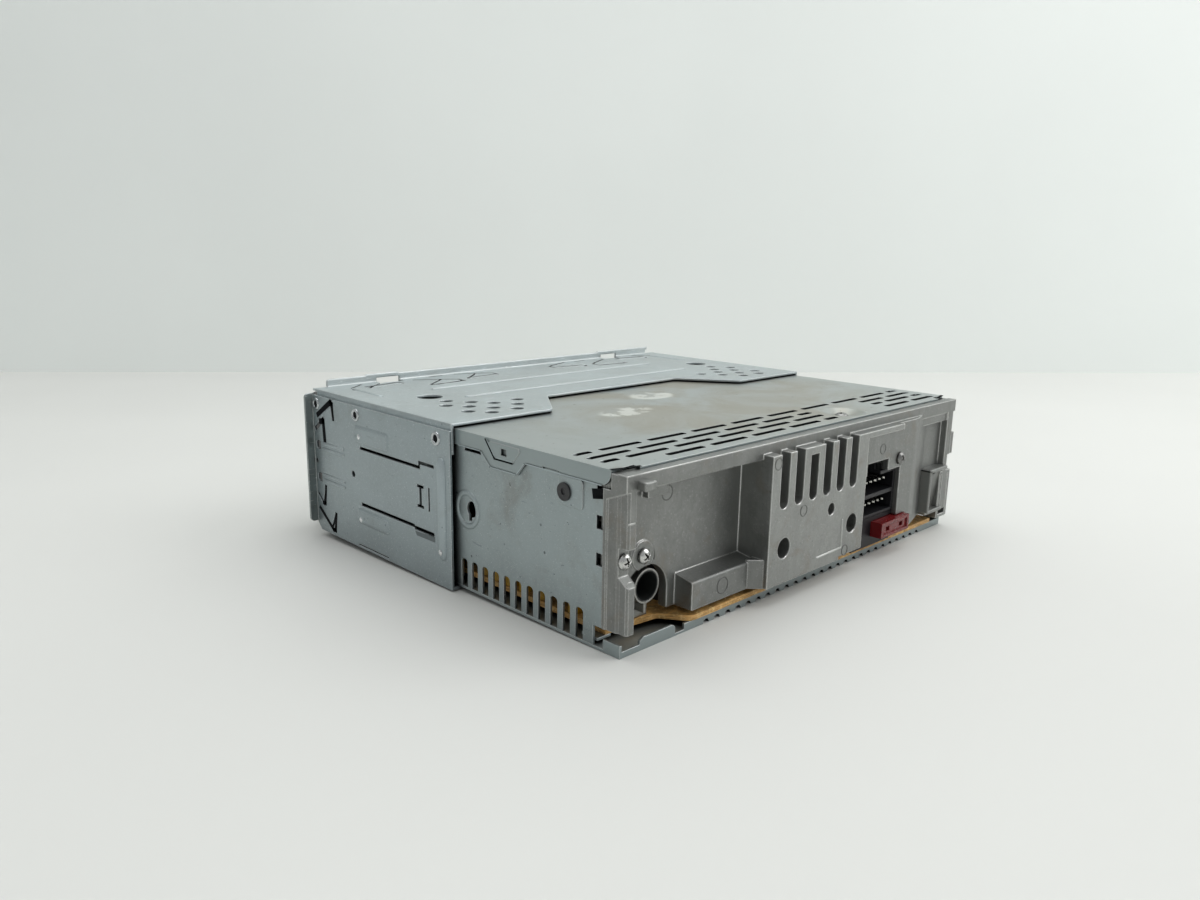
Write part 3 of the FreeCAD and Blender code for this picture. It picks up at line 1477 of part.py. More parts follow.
def sleeve_side():
    """Right side of the sleeve: claws, locking tongue, punched and pressed marks."""
    inner = sleeve_side_in
    outer = sleeve_side_out
    outline = [
        (flange_y, sleeve_floor + 3.0), (flange_y + 3.0, sleeve_floor), (-46.0, sleeve_floor),
        (-46.0, sleeve_floor + 1.2), (-26.5, sleeve_floor + 1.2), (-26.5, sleeve_floor),
        (sleeve_rear_y, sleeve_floor), (sleeve_rear_y, sleeve_seam), (flange_y, sleeve_seam),
    ]
    sheet = prism_x(outline, inner, outer)
    through = (inner - 1, outer + 1)
    cuts = [prism_x(stroke(line, width), *through) for width, line in side_claws()]
    for y, z in tongue_slots:
        cuts.append(block(through, y, z))
    cuts.append(block(through, (-7.2, 1.5), (36.2, 37.3)))
    cuts.append(block(through, (-7.2, -6.1), (34.6, 37.3)))
    cuts.append(block(through, (-10.2, 1.0), (14.0, 15.4)))
    cuts.append(block(through, (-7.0, -5.6), (22.0, 29.5)))
    for z in (22.0, 28.5):
        cuts.append(block(through, (-8.2, -4.4), (z, z + 1.0)))
    cuts.append(block(through, (-2.0, -1.1), (21.8, 29.5)))
    for z in ((29.8, 33.0), (17.6, 20.9)):
        cuts.append(prism_x([(-73.4, z[0], 1.4), (-70.3, z[0]), (-70.3, z[1]), (-73.4, z[1], 1.4)], *through))
    cuts.append(rod(1.0, (inner - 1, -73.6, 25.1), X, 4))
    cuts.append(rod(1.15, (inner - 1, -47.7, 25.0), X, 4))
    sheet = sheet.cut(Part.makeCompound(cuts))
    pressed = 0.35
    marks = []
    for z in (30.4, 32.4, 18.7, 20.7):
        marks.append(block((outer, outer + pressed), (-69.0, -54.0), (z - 0.4, z + 0.4)))
    marks.append(block((outer, outer + pressed), (4.0, 6.6), (8.0, 40.0)))
    marks.append(block((outer, outer + pressed), (-45.0, -25.0), (37.2, 42.2)))
    marks.append(block((outer, outer + pressed), (-45.0, -26.0), (8.6, 12.8)))
    return joined([sheet] + marks)


def flange_corner_trim():
    """Room for the gap between the side flange and the top and bottom flanges."""
    return (flange_low + 5.5, flange_high - 4.3)


def sleeve_lower():
    """Floor and sides of the sleeve with their flanges."""
    side = sleeve_side()
    floor = prism_z(inset_outline(sleeve_side_out), sleeve_floor, sleeve_floor + sleeve_steel)
    corner = prism_x(
        [
            (flange_y - 1, sleeve_floor + 3.0), (flange_y - 1, sleeve_floor - 1),
            (flange_y + 3.0, sleeve_floor - 1), (flange_y + 3.0, sleeve_floor),
            (flange_y, sleeve_floor + 3.0),
        ],
        flange_half_length + 1.5, beyond,
    )
    windows = []
    for x in (-62.0, -42.0, 42.0, 62.0):
        windows.append(prism_z(rectangle((x - 7, x + 7), (-34, -20), 3), -5, 2))
    claws = []
    for x in (-66.0, -30.0, 24.0, 60.0):
        line = [(x - 7, -62.0), (x, -70.0), (x + 7, -62.0)]
        claws.append(prism_z(stroke(line, claw_width), -5, 2))
    floor = floor.cut(Part.makeCompound(windows + claws)).cut(corner).cut(mirrored(corner))
    flange_thick = (flange_y, flange_y + sleeve_steel)
    low_flange = prism_y(
        rectangle((-flange_half_length, flange_half_length), (flange_low, sleeve_floor + 0.4), 1.2),
        *flange_thick,
    )
    low_z, high_z = flange_corner_trim()
    side_flange = prism_y(
        rectangle((sleeve_side_in, sleeve_side_out + flange_reach), (low_z, high_z), 1.5), *flange_thick
    )
    hook = block((sleeve_side_in, sleeve_side_out), flange_thick, (low_z, high_z))
    return joined([floor, low_flange] + both_sides(side) + both_sides(side_flange) + both_sides(hook))


def inset_outline(edge):
    """Outline (x, y) of a sleeve plate whose rear edge is cut back in the middle."""
    return [
        (-edge, flange_y), (edge, flange_y), (edge, sleeve_rear_y), (50.0, sleeve_rear_y, 3),
        (34.0, sleeve_inset_y, 3), (-34.0, sleeve_inset_y, 3), (-50.0, sleeve_rear_y, 3),
        (-edge, sleeve_rear_y),
    ]


def top_claws():
    """Bend-up claws in the sleeve's top plate, as (x, y) lines cut through the sheet."""
    return [
        [(36.0, -58.5), (50.0, -55.4), (52.0, -57.0), (42.0, -65.0)],
        [(15.0, -62.5), (30.0, -59.0), (32.0, -61.0), (22.0, -69.5)],
        [(58.0, -66.0), (72.0, -62.5), (74.0, -64.0), (64.0, -72.0)],
    ]


def sleeve_upper():
    """Top plate of the sleeve, cut back in the middle, with lips inside the sides."""
    roof = (sleeve_roof - sleeve_steel, sleeve_roof)
    plate = prism_z(inset_outline(sleeve_side_in), *roof)
    low, high = roof[0] - 1, roof[1] + 1
    cuts = []
    for x, y in top_holes:
        for side in (-1, 1):
            cuts.append(rod(top_hole_radius, (side * x - (side < 0) * 4.0, y, low), Z, 4))
    for side in (-1, 1):
        cuts.append(rod(big_hole_radius, (side * big_hole[0] - (side < 0) * 7.0, big_hole[1], low), Z, 4))
        claws = [[(side * x, y) for x, y in line] for line in top_claws()]
        cuts += [prism_z(stroke(line, claw_width), low, high) for line in claws]
    plate = plate.cut(Part.makeCompound(cuts))
    ribs = []
    for y in (-26.5, -47.5):
        ribs.append(prism_z(rectangle((-58.0, 58.0), (y - 0.8, y + 0.8), 0.7), roof[1], roof[1] + 0.4))
    lip = block((sleeve_lip_in, sleeve_side_in), (flange_y + 3.0, sleeve_rear_y), (42.0, roof[1]))
    lip = lip.cut(claw_room())
    flange = prism_y(
        rectangle((-flange_half_length, flange_half_length), (roof[0] + 0.4, flange_high), 1.2),
        flange_y, flange_y + sleeve_steel,
    )
    tab_z = (flange_high - 1.0, flange_high + 0.4)
    tabs = [
        block((55.0, 69.0), (flange_y, flange_y + sleeve_steel), tab_z),
        block((-flange_half_length - 1.0, -52.5), (flange_y, flange_y + sleeve_steel), tab_z),
    ]
    window = block(root_window_x, (flange_y - 1, flange_y + root_window_reach), (low, flange_high - 1.2))
    sheet = joined([plate, flange, lip, mirrored(lip)] + ribs + tabs)
    return sheet.cut(window).cut(mirrored(window))


def claw_room():
    """Space kept open in the lip behind the upper claw."""
    return block((sleeve_lip_in - 9.0, beyond), (-73.0, -58.5), (40.0, sleeve_seam))


def sleeve_rivets():
    """Clinch points that hold the sleeve's plates together."""
    pieces = []
    for y, z in side_rivets:
        outer = ring(2.3, 1.25, (sleeve_side_out, y, z), X, 0.45)
        floor = rod(1.25, (sleeve_side_out, y, z), X, 0.15)
        pieces += both_sides(outer.fuse(floor).removeSplitter())
    return pieces


def build():
    """Make and save every node."""
    os.makedirs("parts", exist_ok=True)
    save("chassis_frame", chassis_frame())
    save("top_cover", top_cover())
    save("bottom_cover", bottom_cover())
    save("heatsink", heatsink())
    save("silver_screws", *silver_screws())
    save("side_screws", *side_screws())
    save("main_board", main_board())
    save("antenna_socket", antenna_socket())
    save("antenna_clip", antenna_clip())
    save("power_connector", power_connector())
    save("connector_pins", *connector_pins())
    save("fuse_holder", fuse_holder())
    save("fuse_body", fuse_body())
    save("fuse_blades", fuse_blades())
    save("amplifier_chip", amplifier_chip())
    save("filter_capacitors", *filter_capacitors())
    save("small_capacitors", *small_capacitors())
    save("tuner_module", tuner_module())
    save("mech_base", mech_base())
    save("mech_dampers", *mech_dampers())
    save("mech_top_frame", mech_top_frame())
    save("clamp_arm", clamp_arm())
    save("clamper", clamper())
    save("turntable", turntable())
    save("spindle_motor", spindle_motor())
    save("sled_motor", sled_motor())
    save("sled_gear", sled_gear())
    save("pickup_sled", pickup_sled())
    save("pickup_lens", *pickup_lens())
    save("guide_rods", *guide_rods())
    save("disc_guide", disc_guide())
    save("loading_roller", *loading_roller())
    save("roller_shaft", roller_shaft())
    roller_wheel, idler, pinion = gear_train()
    save("roller_gear", roller_wheel)
    save("idler_gear", idler)
    save("motor_pinion", pinion)
    save("loading_motor", loading_motor())
    save("ribbon_cable", ribbon_cable())
    save("front_carrier", front_carrier())
    save("face_socket", face_socket())
    save("face_shell", face_shell())
    save("face_back", face_back())
    save("display_window", display_window())
    save("display_panel", display_panel())
    save("face_board", face_board())
    save("knob_encoder", knob_encoder())
    save("volume_knob", volume_knob())
    for index in range(6):
        start = preset_start + index * preset_pitch
        save("preset_button_" + str(index + 1), key((start, start + preset_width), preset_z))
    save("source_button", key(source_x, upper_keys_z))
    save("eject_button", key(eject_x, upper_keys_z))
    save("search_rocker", search_rocker())
    save("release_button", release_button())
    save("sleeve_lower", sleeve_lower())
    save("sleeve_upper", sleeve_upper())
    save("sleeve_rivets", *sleeve_rivets())


build()
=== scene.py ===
import json
import math
import bmesh
import bpy
from mathutils import Matrix, Vector


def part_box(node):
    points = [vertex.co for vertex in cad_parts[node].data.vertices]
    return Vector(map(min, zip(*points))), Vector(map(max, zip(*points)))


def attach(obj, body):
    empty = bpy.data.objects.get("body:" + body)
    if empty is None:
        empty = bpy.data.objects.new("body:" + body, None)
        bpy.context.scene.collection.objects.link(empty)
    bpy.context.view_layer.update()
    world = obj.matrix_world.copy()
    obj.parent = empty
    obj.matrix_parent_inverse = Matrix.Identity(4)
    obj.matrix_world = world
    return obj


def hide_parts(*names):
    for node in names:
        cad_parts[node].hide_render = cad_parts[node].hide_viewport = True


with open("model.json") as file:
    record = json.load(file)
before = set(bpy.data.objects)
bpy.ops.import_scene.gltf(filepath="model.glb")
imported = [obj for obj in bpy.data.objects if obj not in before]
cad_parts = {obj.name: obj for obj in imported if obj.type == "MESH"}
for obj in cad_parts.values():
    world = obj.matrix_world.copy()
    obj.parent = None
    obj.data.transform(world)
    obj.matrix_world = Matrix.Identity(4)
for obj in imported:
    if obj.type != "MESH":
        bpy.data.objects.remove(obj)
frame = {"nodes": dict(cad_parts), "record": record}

bl_info = {
    "name": "Car disc player",
    "version": (1, 0, 0),
    "blender": (4, 5, 0),
    "location": "View3D > Sidebar > Disc player",
    "description": "Dresses the packed frame of a single-slot car disc player in its mounting sleeve",
    "category": "Object",
}

MM = 0.001

# Directions of the frame, and the two sides of the player
ACROSS = Vector((1, 0, 0))
BACK = Vector((0, 1, 0))
UP = Vector((0, 0, 1))
SIDES = (1.0, -1.0)

# Places in the frame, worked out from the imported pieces
SLEEVE_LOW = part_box("sleeve_lower")[0]
COVER_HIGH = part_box("top_cover")[1]
FLOOR_LOW, FLOOR_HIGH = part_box("bottom_cover")

# Place of the measuring datum in the frame; its z is 0 on the underside of the floor sheet
DATUM = Vector((0.0, 5.8 * MM, FLOOR_LOW.z))

# Faces that carry relief, in millimetres of the measuring datum. Relief starts a hair inside its
# face, and flat marks lie a hair in front of it.
SLEEVE_SIDE = 91.0
SLEEVE_ROOF = 51.5
CHASSIS_SIDE = 88.38
LID_SIDE = COVER_HIGH.x / MM
LID_TOP = 50.0
BLOCK_FACE = 85.8
PILLAR_FACE = 82.14
SUNK = 0.02
PROUD = 0.03

# Where the finishes change: an axis of the frame, and the millimetres where the change starts and ends
LOW_ON_SIDE = (2, 2.0, 26.0)
AHEAD_OF_REAR = (1, 84.5, 80.0)
NEAR_REAR = (1, 82.0, 86.0)
NEAR_FLOOR = (2, 14.0, 8.0)
FRONT_FLANGE = (1, -68.2, -68.6)
ROOF_FLANGE = (2, 52.6, 53.2)
BEHIND_LID_MIDDLE = (1, 54.0, 56.0)
AHEAD_OF_LID_EDGE = (1, 82.6, 82.2)
PROUD_OF_RIM = (1, 91.0, 91.4)
SET_BACK_FROM_RIM = (1, 90.3, 90.0)

# Half of the width that the lid's rows of vents take, where it ends and where it is full
VENT_HALF_WIDTH = (84.0 * MM, 83.0 * MM)

# Noise stretched so that its lines run across the sheet, or level along its sides
LINES_ACROSS = (1.0, 8.0, 1.0)
LINES_LEVEL = (1.0, 1.0, 8.0)

# Colours that dirt and wear add to the metals, and painted light and shade laid over them
GREASE = (0.27, 0.25, 0.21)
PAINTED_SKY_SHEEN = (0.66, 0.70, 0.69)
PAINTED_REAR_LIGHT = (0.43, 0.44, 0.41)
FLANGE_FILM = (0.175, 0.190, 0.165)
PAINTED_FLANGE_LIGHT = (0.62, 0.66, 0.65)
RUBBED_ZINC = (0.78, 0.81, 0.81)
RUBBED_LID = (0.76, 0.78, 0.77)
RUBBED_ALLOY_AND_HIGHLIGHT = (0.80, 0.80, 0.78)
RUBBED_NICKEL = (0.85, 0.85, 0.84)
GLUE = (0.70, 0.72, 0.68)
LID_DIRT = (0.24, 0.22, 0.18)
GRIT = (0.09, 0.085, 0.07)
PAINTED_VENT_BLACK = (0.010, 0.011, 0.012)
PAINTED_GAP_BLACK = (0.006, 0.007, 0.008)
PAINTED_LID_GAP_BLACK = (0.006, 0.007, 0.007)
CASTING_STAIN = (0.22, 0.18, 0.14)
PAINTED_CREVICE_SHADE = (0.05, 0.045, 0.04)
DUST = (0.20, 0.19, 0.18)
TORN_FIBRE = (0.86, 0.62, 0.27)
BOARD_BURN = (0.14, 0.06, 0.02)
GLASS_HAZE = (0.10, 0.11, 0.11)

# Cells of the display: the axis they repeat along, and their size
CELL_SIZE = ((0, 5.2 * MM), (2, 8.5 * MM))

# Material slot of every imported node
NODE_SLOT = {row["node"]: row["material_slot"] for row in frame["record"]["subparts"]}


def place(x, y, z):
    """Point of the frame from millimetres in the measuring datum."""
    return DATUM + Vector((x, y, z)) * MM


class Finish:
    """Node tree of one surface finish, built a step at a time."""

    def __init__(self, name):
        self.material = bpy.data.materials.new(name)
        self.material.use_nodes = True
        self.tree = self.material.node_tree
        self.tree.nodes.clear()
        self.output = self.add("ShaderNodeOutputMaterial")
        self.shader = self.add("ShaderNodeBsdfPrincipled")
        self.join(self.shader.outputs[0], self.output.inputs["Surface"])
        self.coordinates = self.add("ShaderNodeTexCoord").outputs["Object"]

    def add(self, kind, **settings):
        """New node with its properties set."""
        node = self.tree.nodes.new(kind)
        for key, value in settings.items():
            setattr(node, key, value)
        return node

    def join(self, source, target):
        """Link two sockets."""
        self.tree.links.new(source, target)

    def stretched(self, scale):
        """Object coordinates scaled along each axis."""
        mapping = self.add("ShaderNodeMapping")
        mapping.inputs["Scale"].default_value = scale
        self.join(self.coordinates, mapping.inputs["Vector"])
        return mapping.outputs[0]

    def noise(self, scale, detail=4.0, roughness=0.55, stretch=(1, 1, 1), twist=0.0):
        """Fractal noise, about 0.3 to 0.7."""
        node = self.add("ShaderNodeTexNoise")
        node.inputs["Scale"].default_value = scale
        node.inputs["Detail"].default_value = detail
        node.inputs["Roughness"].default_value = roughness
        node.inputs["Distortion"].default_value = twist
        self.join(self.stretched(stretch), node.inputs["Vector"])
        return node.outputs["Fac"]

    def cells(self, scale, stretch=(1, 1, 1), feature="F1", randomness=1.0):
        """Distance to scattered points."""
        node = self.add("ShaderNodeTexVoronoi", feature=feature)
        node.inputs["Scale"].default_value = scale
        node.inputs["Randomness"].default_value = randomness
        self.join(self.stretched(stretch), node.inputs["Vector"])
        return node.outputs["Distance"]

    def span(self, value, low, high, start=0.0, end=1.0):
        """Value taken smoothly from low..high to start..end."""
        node = self.add("ShaderNodeMapRange", interpolation_type="SMOOTHSTEP")
        node.inputs["From Min"].default_value = low
        node.inputs["From Max"].default_value = high
        node.inputs["To Min"].default_value = start
        node.inputs["To Max"].default_value = end
        self.join(value, node.inputs["Value"])
        return node.outputs["Result"]

    def sum(self, kind, first, second):
        """Arithmetic on two values, each a socket or a number."""
        node = self.add("ShaderNodeMath", operation=kind)
        for index, value in enumerate((first, second)):
            if isinstance(value, (int, float)):
                node.inputs[index].default_value = value
            else:
                self.join(value, node.inputs[index])
        return node.outputs[0]

    def times(self, first, second):
        """Product of two values."""
        return self.sum("MULTIPLY", first, second)

    def plus(self, first, second):
        """Sum of two values."""
        return self.sum("ADD", first, second)

    def larger(self, first, second):
        """The larger of two values."""
        return self.sum("MAXIMUM", first, second)

    def unsigned(self, value):
        """Value without its sign."""
        return self.sum("ABSOLUTE", value, 0.0)

    def mix(self, amount, below, above):
        """Colour between two colours, each a tuple or a socket."""
        node = self.add("ShaderNodeMix", data_type="RGBA")
        if isinstance(amount, (int, float)):
            node.inputs["Factor"].default_value = amount
        else:
            self.join(amount, node.inputs["Factor"])
        for name, value in (("A", below), ("B", above)):
            socket = [s for s in node.inputs if s.name == name and s.type == "RGBA"][0]
            if isinstance(value, tuple):
                socket.default_value = (*value[:3], 1.0)
            else:
                self.join(value, socket)
        return [s for s in node.outputs if s.type == "RGBA"][0]

    def over(self, color, mask, strength, above):
        """Colour with another laid over it by a mask and a strength."""
        return self.mix(self.times(mask, strength), color, above)

    def axis(self, index):
        """One of the object coordinates, in metres."""
        node = self.add("ShaderNodeSeparateXYZ")
        self.join(self.coordinates, node.inputs[0])
        return node.outputs[index]

    def ramp(self, index, low, high, start=0.0, end=1.0):
        """Value that changes between two places along an axis of the frame, in millimetres."""
        return self.span(self.axis(index), low * MM, high * MM, start, end)

    def near(self, centre, radius, stretch=(1, 1, 1)):
        """1 at a place of the frame, falling to 0 at a radius round it."""
        reach = self.coordinates
        for kind, triple in (("SUBTRACT", centre), ("MULTIPLY", stretch)):
            node = self.add("ShaderNodeVectorMath", operation=kind)
            self.join(reach, node.inputs[0])
            node.inputs[1].default_value = triple
            reach = node.outputs[0]
        length = self.add("ShaderNodeVectorMath", operation="LENGTH")
        self.join(reach, length.inputs[0])
        return self.span(length.outputs["Value"], 0.0, radius, 1.0, 0.0)

    def round_edges(self, radius):
        """Normal with soft edges, and a mask of those edges."""
        bevel = self.add("ShaderNodeBevel", samples=6)
        bevel.inputs["Radius"].default_value = radius
        flat = self.add("ShaderNodeNewGeometry").outputs["Normal"]
        dot = self.add("ShaderNodeVectorMath", operation="DOT_PRODUCT")
        self.join(bevel.outputs[0], dot.inputs[0])
        self.join(flat, dot.inputs[1])
        return bevel.outputs[0], self.span(dot.outputs["Value"], 0.995, 0.80)

    def crevice(self, distance, samples=6):
        """1 in the open, towards 0 in corners and pockets."""
        node = self.add("ShaderNodeAmbientOcclusion", samples=samples)
        node.inputs["Distance"].default_value = distance
        return node.outputs["AO"]

    def bump(self, height, depth, strength=1.0, normal=None):
        """Normal from a height value, depth in metres."""
        node = self.add("ShaderNodeBump")
        node.inputs["Strength"].default_value = strength
        node.inputs["Distance"].default_value = depth
        self.join(height, node.inputs["Height"])
        if normal is not None:
            self.join(normal, node.inputs["Normal"])
        return node.outputs[0]

    def finish(self, color=None, rough=None, normal=None, **constants):
        """Set the shader's sockets: links for what varies, plain values for the rest."""
        for name, value in (("Base Color", color), ("Roughness", rough), ("Normal", normal)):
            if value is None:
                continue
            if isinstance(value, tuple):
                self.shader.inputs[name].default_value = (*value[:3], 1.0)
            elif isinstance(value, (int, float)):
                self.shader.inputs[name].default_value = value
            else:
                self.join(value, self.shader.inputs[name])
        for name, value in constants.items():
            self.shader.inputs[name.replace("_", " ")].default_value = value
        return self.material


def rgb(prop):
    """Plain tuple from a colour property."""
    return tuple(prop)[:3]


def shade(color, factor):
    """Colour made lighter or darker."""
    return tuple(min(1.0, channel * factor) for channel in color)


def upward(f, low=0.55, high=0.95):
    """1 on faces that look up, where dust settles and the light falls."""
    parts = f.add("ShaderNodeSeparateXYZ")
    f.join(f.add("ShaderNodeNewGeometry").outputs["Normal"], parts.inputs[0])
    return f.span(parts.outputs[2], low, high)


def plated_sheet(name, tint, wear, grime, grain=(1, 1, 1), fold=0.40, shut=0.52, nicked=0.55):
    """Zinc plated sheet: spangle, rolled grain, rubbed edges, smudges, nicks, painted shade in gaps and low
    on the sides, and painted light on faces that look up, on the low rear edge and on the flange above the
    roof.
    """
    f = Finish(name)
    soft, edge = f.round_edges(fold * MM)
    cloud = f.noise(38.0, 5.0, 0.6)
    spangle = f.noise(900.0, 3.0, 0.6)
    rolled = f.noise(420.0, 3.0, 0.5, grain)
    smudge = f.span(f.noise(60.0, 6.0, 0.65, twist=0.4), 0.52, 0.70)
    scratches = f.span(f.noise(260.0, 2.0, 0.5, (1.0, 14.0, 9.0), 0.2), 0.655, 0.70)
    nicks = f.span(f.noise(640.0, 3.0, 0.65, (1.0, 0.8, 1.6), 0.5), 0.685, 0.725)
    dots = f.times(f.span(f.cells(170.0), 0.085, 0.055), f.span(cloud, 0.44, 0.56))
    nicks = f.larger(nicks, dots)
    streaks = f.span(f.noise(120.0, 4.0, 0.65, (1.0, 0.7, 4.5), 0.6), 0.64, 0.72)
    color = f.mix(f.span(cloud, 0.32, 0.68), shade(tint, 0.88), shade(tint, 1.10))
    color = f.over(color, f.span(spangle, 0.35, 0.65), 0.35, shade(tint, 1.12))
    color = f.over(color, smudge, grime, GREASE)
    color = f.over(color, streaks, grime * 1.6, shade(tint, 0.45))
    color = f.over(color, nicks, nicked, shade(tint, 0.22))
    # Painted sky sheen: faces that look up are made lighter.
    color = f.over(color, upward(f), 0.27, PAINTED_SKY_SHEEN)
    # Painted shade low on the sides, darker towards the floor.
    low_painted_shade = f.ramp(*LOW_ON_SIDE, 0.30, 0.0)
    low_painted_shade = f.times(low_painted_shade, f.ramp(*AHEAD_OF_REAR))
    color = f.mix(low_painted_shade, color, shade(tint, 0.5))
    # Painted light low on the rear edge.
    rear_light_mask = f.times(f.ramp(*NEAR_REAR), f.ramp(*NEAR_FLOOR))
    color = f.over(color, rear_light_mask, 0.45, PAINTED_REAR_LIGHT)
    flange = f.ramp(*FRONT_FLANGE)
    roof_side = f.ramp(*ROOF_FLANGE)
    film = f.times(flange, f.ramp(*ROOF_FLANGE, 0.45, 0.0))
    color = f.mix(film, color, FLANGE_FILM)
    # Painted light on the front flange where it stands above the roof.
    color = f.over(color, f.times(flange, roof_side), 0.6, PAINTED_FLANGE_LIGHT)
    bright = f.times(f.larger(edge, scratches), wear)
    color = f.mix(bright, color, RUBBED_ZINC)
    # Painted shade in gaps and corners.
    painted_gap_shade = f.span(f.crevice(5.0 * MM, 8), 0.10, shut)
    color = f.mix(painted_gap_shade, PAINTED_GAP_BLACK, color)
    rough = f.plus(f.span(cloud, 0.3, 0.7, 0.34, 0.48), f.times(smudge, 0.12))
    height = f.plus(f.times(rolled, 0.6), f.times(scratches, -0.8))
    height = f.plus(height, f.times(spangle, 0.4))
    normal = f.bump(height, 0.03 * MM, 0.5, soft)
    return f.finish(color, rough, normal, Metallic=0.80)


def cover_sheet(name, tint, stain, side_tint, wear):
    """The lid's sheet: warm film and pale glue marks above, plain plating on its lips, painted shade in its
    vents and gaps.
    """
    f = Finish(name)
    soft, edge = f.round_edges(0.35 * MM)
    cloud = f.noise(26.0, 6.0, 0.62, twist=0.5)
    blot = f.noise(70.0, 6.0, 0.7, twist=0.8)
    speck = f.noise(620.0, 3.0, 0.6)
    rub = f.noise(150.0, 6.0, 0.72, (0.6, 2.0, 1.0), 0.9)
    middle = f.near(place(-6.0, 22.0, 50.0), 0.105, (0.95, 1.15, 1.0))
    warm = f.times(f.span(cloud, 0.34, 0.62), f.span(middle, 0.05, 0.55))
    color = f.mix(warm, tint, stain)
    drift = f.times(f.span(f.noise(14.0, 3.0, 0.5), 0.4, 0.7), 0.25)
    color = f.mix(drift, color, shade(tint, 1.16))
    first = f.near(place(-1.0, 6.8, 50.0), 0.017, (1.1, 1.5, 1.0))
    second = f.near(place(29.5, 23.5, 50.0), 0.017, (0.95, 1.7, 1.0))
    patch = f.larger(first, second)
    solid = f.span(f.noise(95.0, 5.0, 0.62, twist=1.4), 0.46, 0.50)
    marks = f.times(f.larger(solid, f.span(rub, 0.55, 0.60)), f.span(patch, 0.20, 0.50))
    color = f.over(color, marks, 0.62, GLUE)
    dirt = f.times(f.span(blot, 0.58, 0.74), 0.40)
    color = f.mix(dirt, color, LID_DIRT)
    grit = f.times(f.span(f.cells(125.0), 0.080, 0.050), f.span(blot, 0.46, 0.54))
    dots = f.larger(f.span(speck, 0.685, 0.72), grit)
    color = f.over(color, dots, 0.75, GRIT)
    color = f.mix(upward(f, 0.3, 0.8), side_tint, color)
    color = f.over(color, edge, wear, RUBBED_LID)
    # Painted shade on the walls of the vents.
    vents = f.times(f.span(f.unsigned(f.axis(0)), *VENT_HALF_WIDTH), f.ramp(*BEHIND_LID_MIDDLE))
    vents = f.times(vents, f.ramp(*AHEAD_OF_LID_EDGE))
    vent_wall_shade = f.times(vents, f.sum("SUBTRACT", 1.0, upward(f, 0.3, 0.6)))
    color = f.mix(vent_wall_shade, color, PAINTED_VENT_BLACK)
    # Painted shade in gaps and corners.
    painted_gap_shade = f.span(f.crevice(5.0 * MM, 8), 0.12, 0.60)
    color = f.mix(painted_gap_shade, PAINTED_LID_GAP_BLACK, color)
    rough = f.plus(f.span(cloud, 0.3, 0.7, 0.33, 0.45), f.times(marks, 0.25))
    height = f.plus(f.times(f.noise(380.0, 3.0, 0.5, (3.0, 0.5, 1.0)), 0.5), marks)
    normal = f.bump(height, 0.03 * MM, 0.45, soft)
    return f.finish(color, rough, normal, Metallic=0.78)


def cast_metal(name, tint, wear):
    """Die-cast alloy: flow clouds, drawn marks, sandy grain, painted light in deep pockets, painted shade
    in tight corners, rubbed arrises lightened further as painted highlights.
    """
    f = Finish(name)
    soft, edge = f.round_edges(0.74 * MM)
    flow = f.noise(48.0, 6.0, 0.62, (1.0, 1.0, 0.45), 1.2)
    drawn = f.noise(300.0, 4.0, 0.6, (3.0, 3.0, 0.25), 0.3)
    sand = f.noise(1500.0, 3.0, 0.7)
    pits = f.cells(420.0)
    stain = f.span(f.noise(90.0, 5.0, 0.6, twist=0.6), 0.54, 0.72)
    pocket = f.span(f.crevice(10.0 * MM, 8), 0.30, 0.92)
    color = f.mix(f.span(flow, 0.32, 0.68), shade(tint, 0.80), shade(tint, 1.18))
    color = f.over(color, f.span(drawn, 0.42, 0.66), 0.14, shade(tint, 1.35))
    mottle = f.noise(230.0, 5.0, 0.68, (1.0, 1.0, 0.8), 0.6)
    color = f.over(color, f.span(mottle, 0.38, 0.64), 0.34, shade(tint, 0.62))
    rubbed = f.ramp(*PROUD_OF_RIM)
    color = f.over(color, rubbed, 0.36, shade(tint, 1.42))
    set_back = f.ramp(*SET_BACK_FROM_RIM)
    color = f.over(color, set_back, 0.28, shade(tint, 0.66))
    color = f.over(color, stain, 0.35, CASTING_STAIN)
    color = f.over(color, f.span(sand, 0.58, 0.70), 0.40, shade(tint, 1.8))
    color = f.over(color, f.span(sand, 0.40, 0.30), 0.40, shade(tint, 0.45))
    # Painted light in deep pockets: there the colour goes back to a plain, slightly lighter tint.
    color = f.mix(pocket, shade(tint, 1.05), color)
    # Painted shade in tight corners.
    painted_gap_shade = f.span(f.crevice(2.0 * MM, 6), 0.02, 0.20)
    color = f.mix(painted_gap_shade, shade(tint, 0.55), color)
    # Arrises rubbed bright, and lightened further as painted highlights.
    worn_and_highlit = f.times(edge, f.span(f.noise(140.0, 4.0, 0.6), 0.26, 0.46, 0.35, 1.0))
    color = f.over(color, worn_and_highlit, wear, RUBBED_ALLOY_AND_HIGHLIGHT)
    rough = f.sum("SUBTRACT", f.span(flow, 0.3, 0.7, 0.36, 0.50), f.times(worn_and_highlit, 0.12))
    height = f.plus(f.times(sand, 0.55), f.span(pits, 0.0, 0.25, -0.25, 0.0))
    height = f.plus(height, f.times(flow, 0.5))
    normal = f.bump(height, 0.06 * MM, 0.55, soft)
    return f.finish(color, rough, normal, Metallic=0.82)


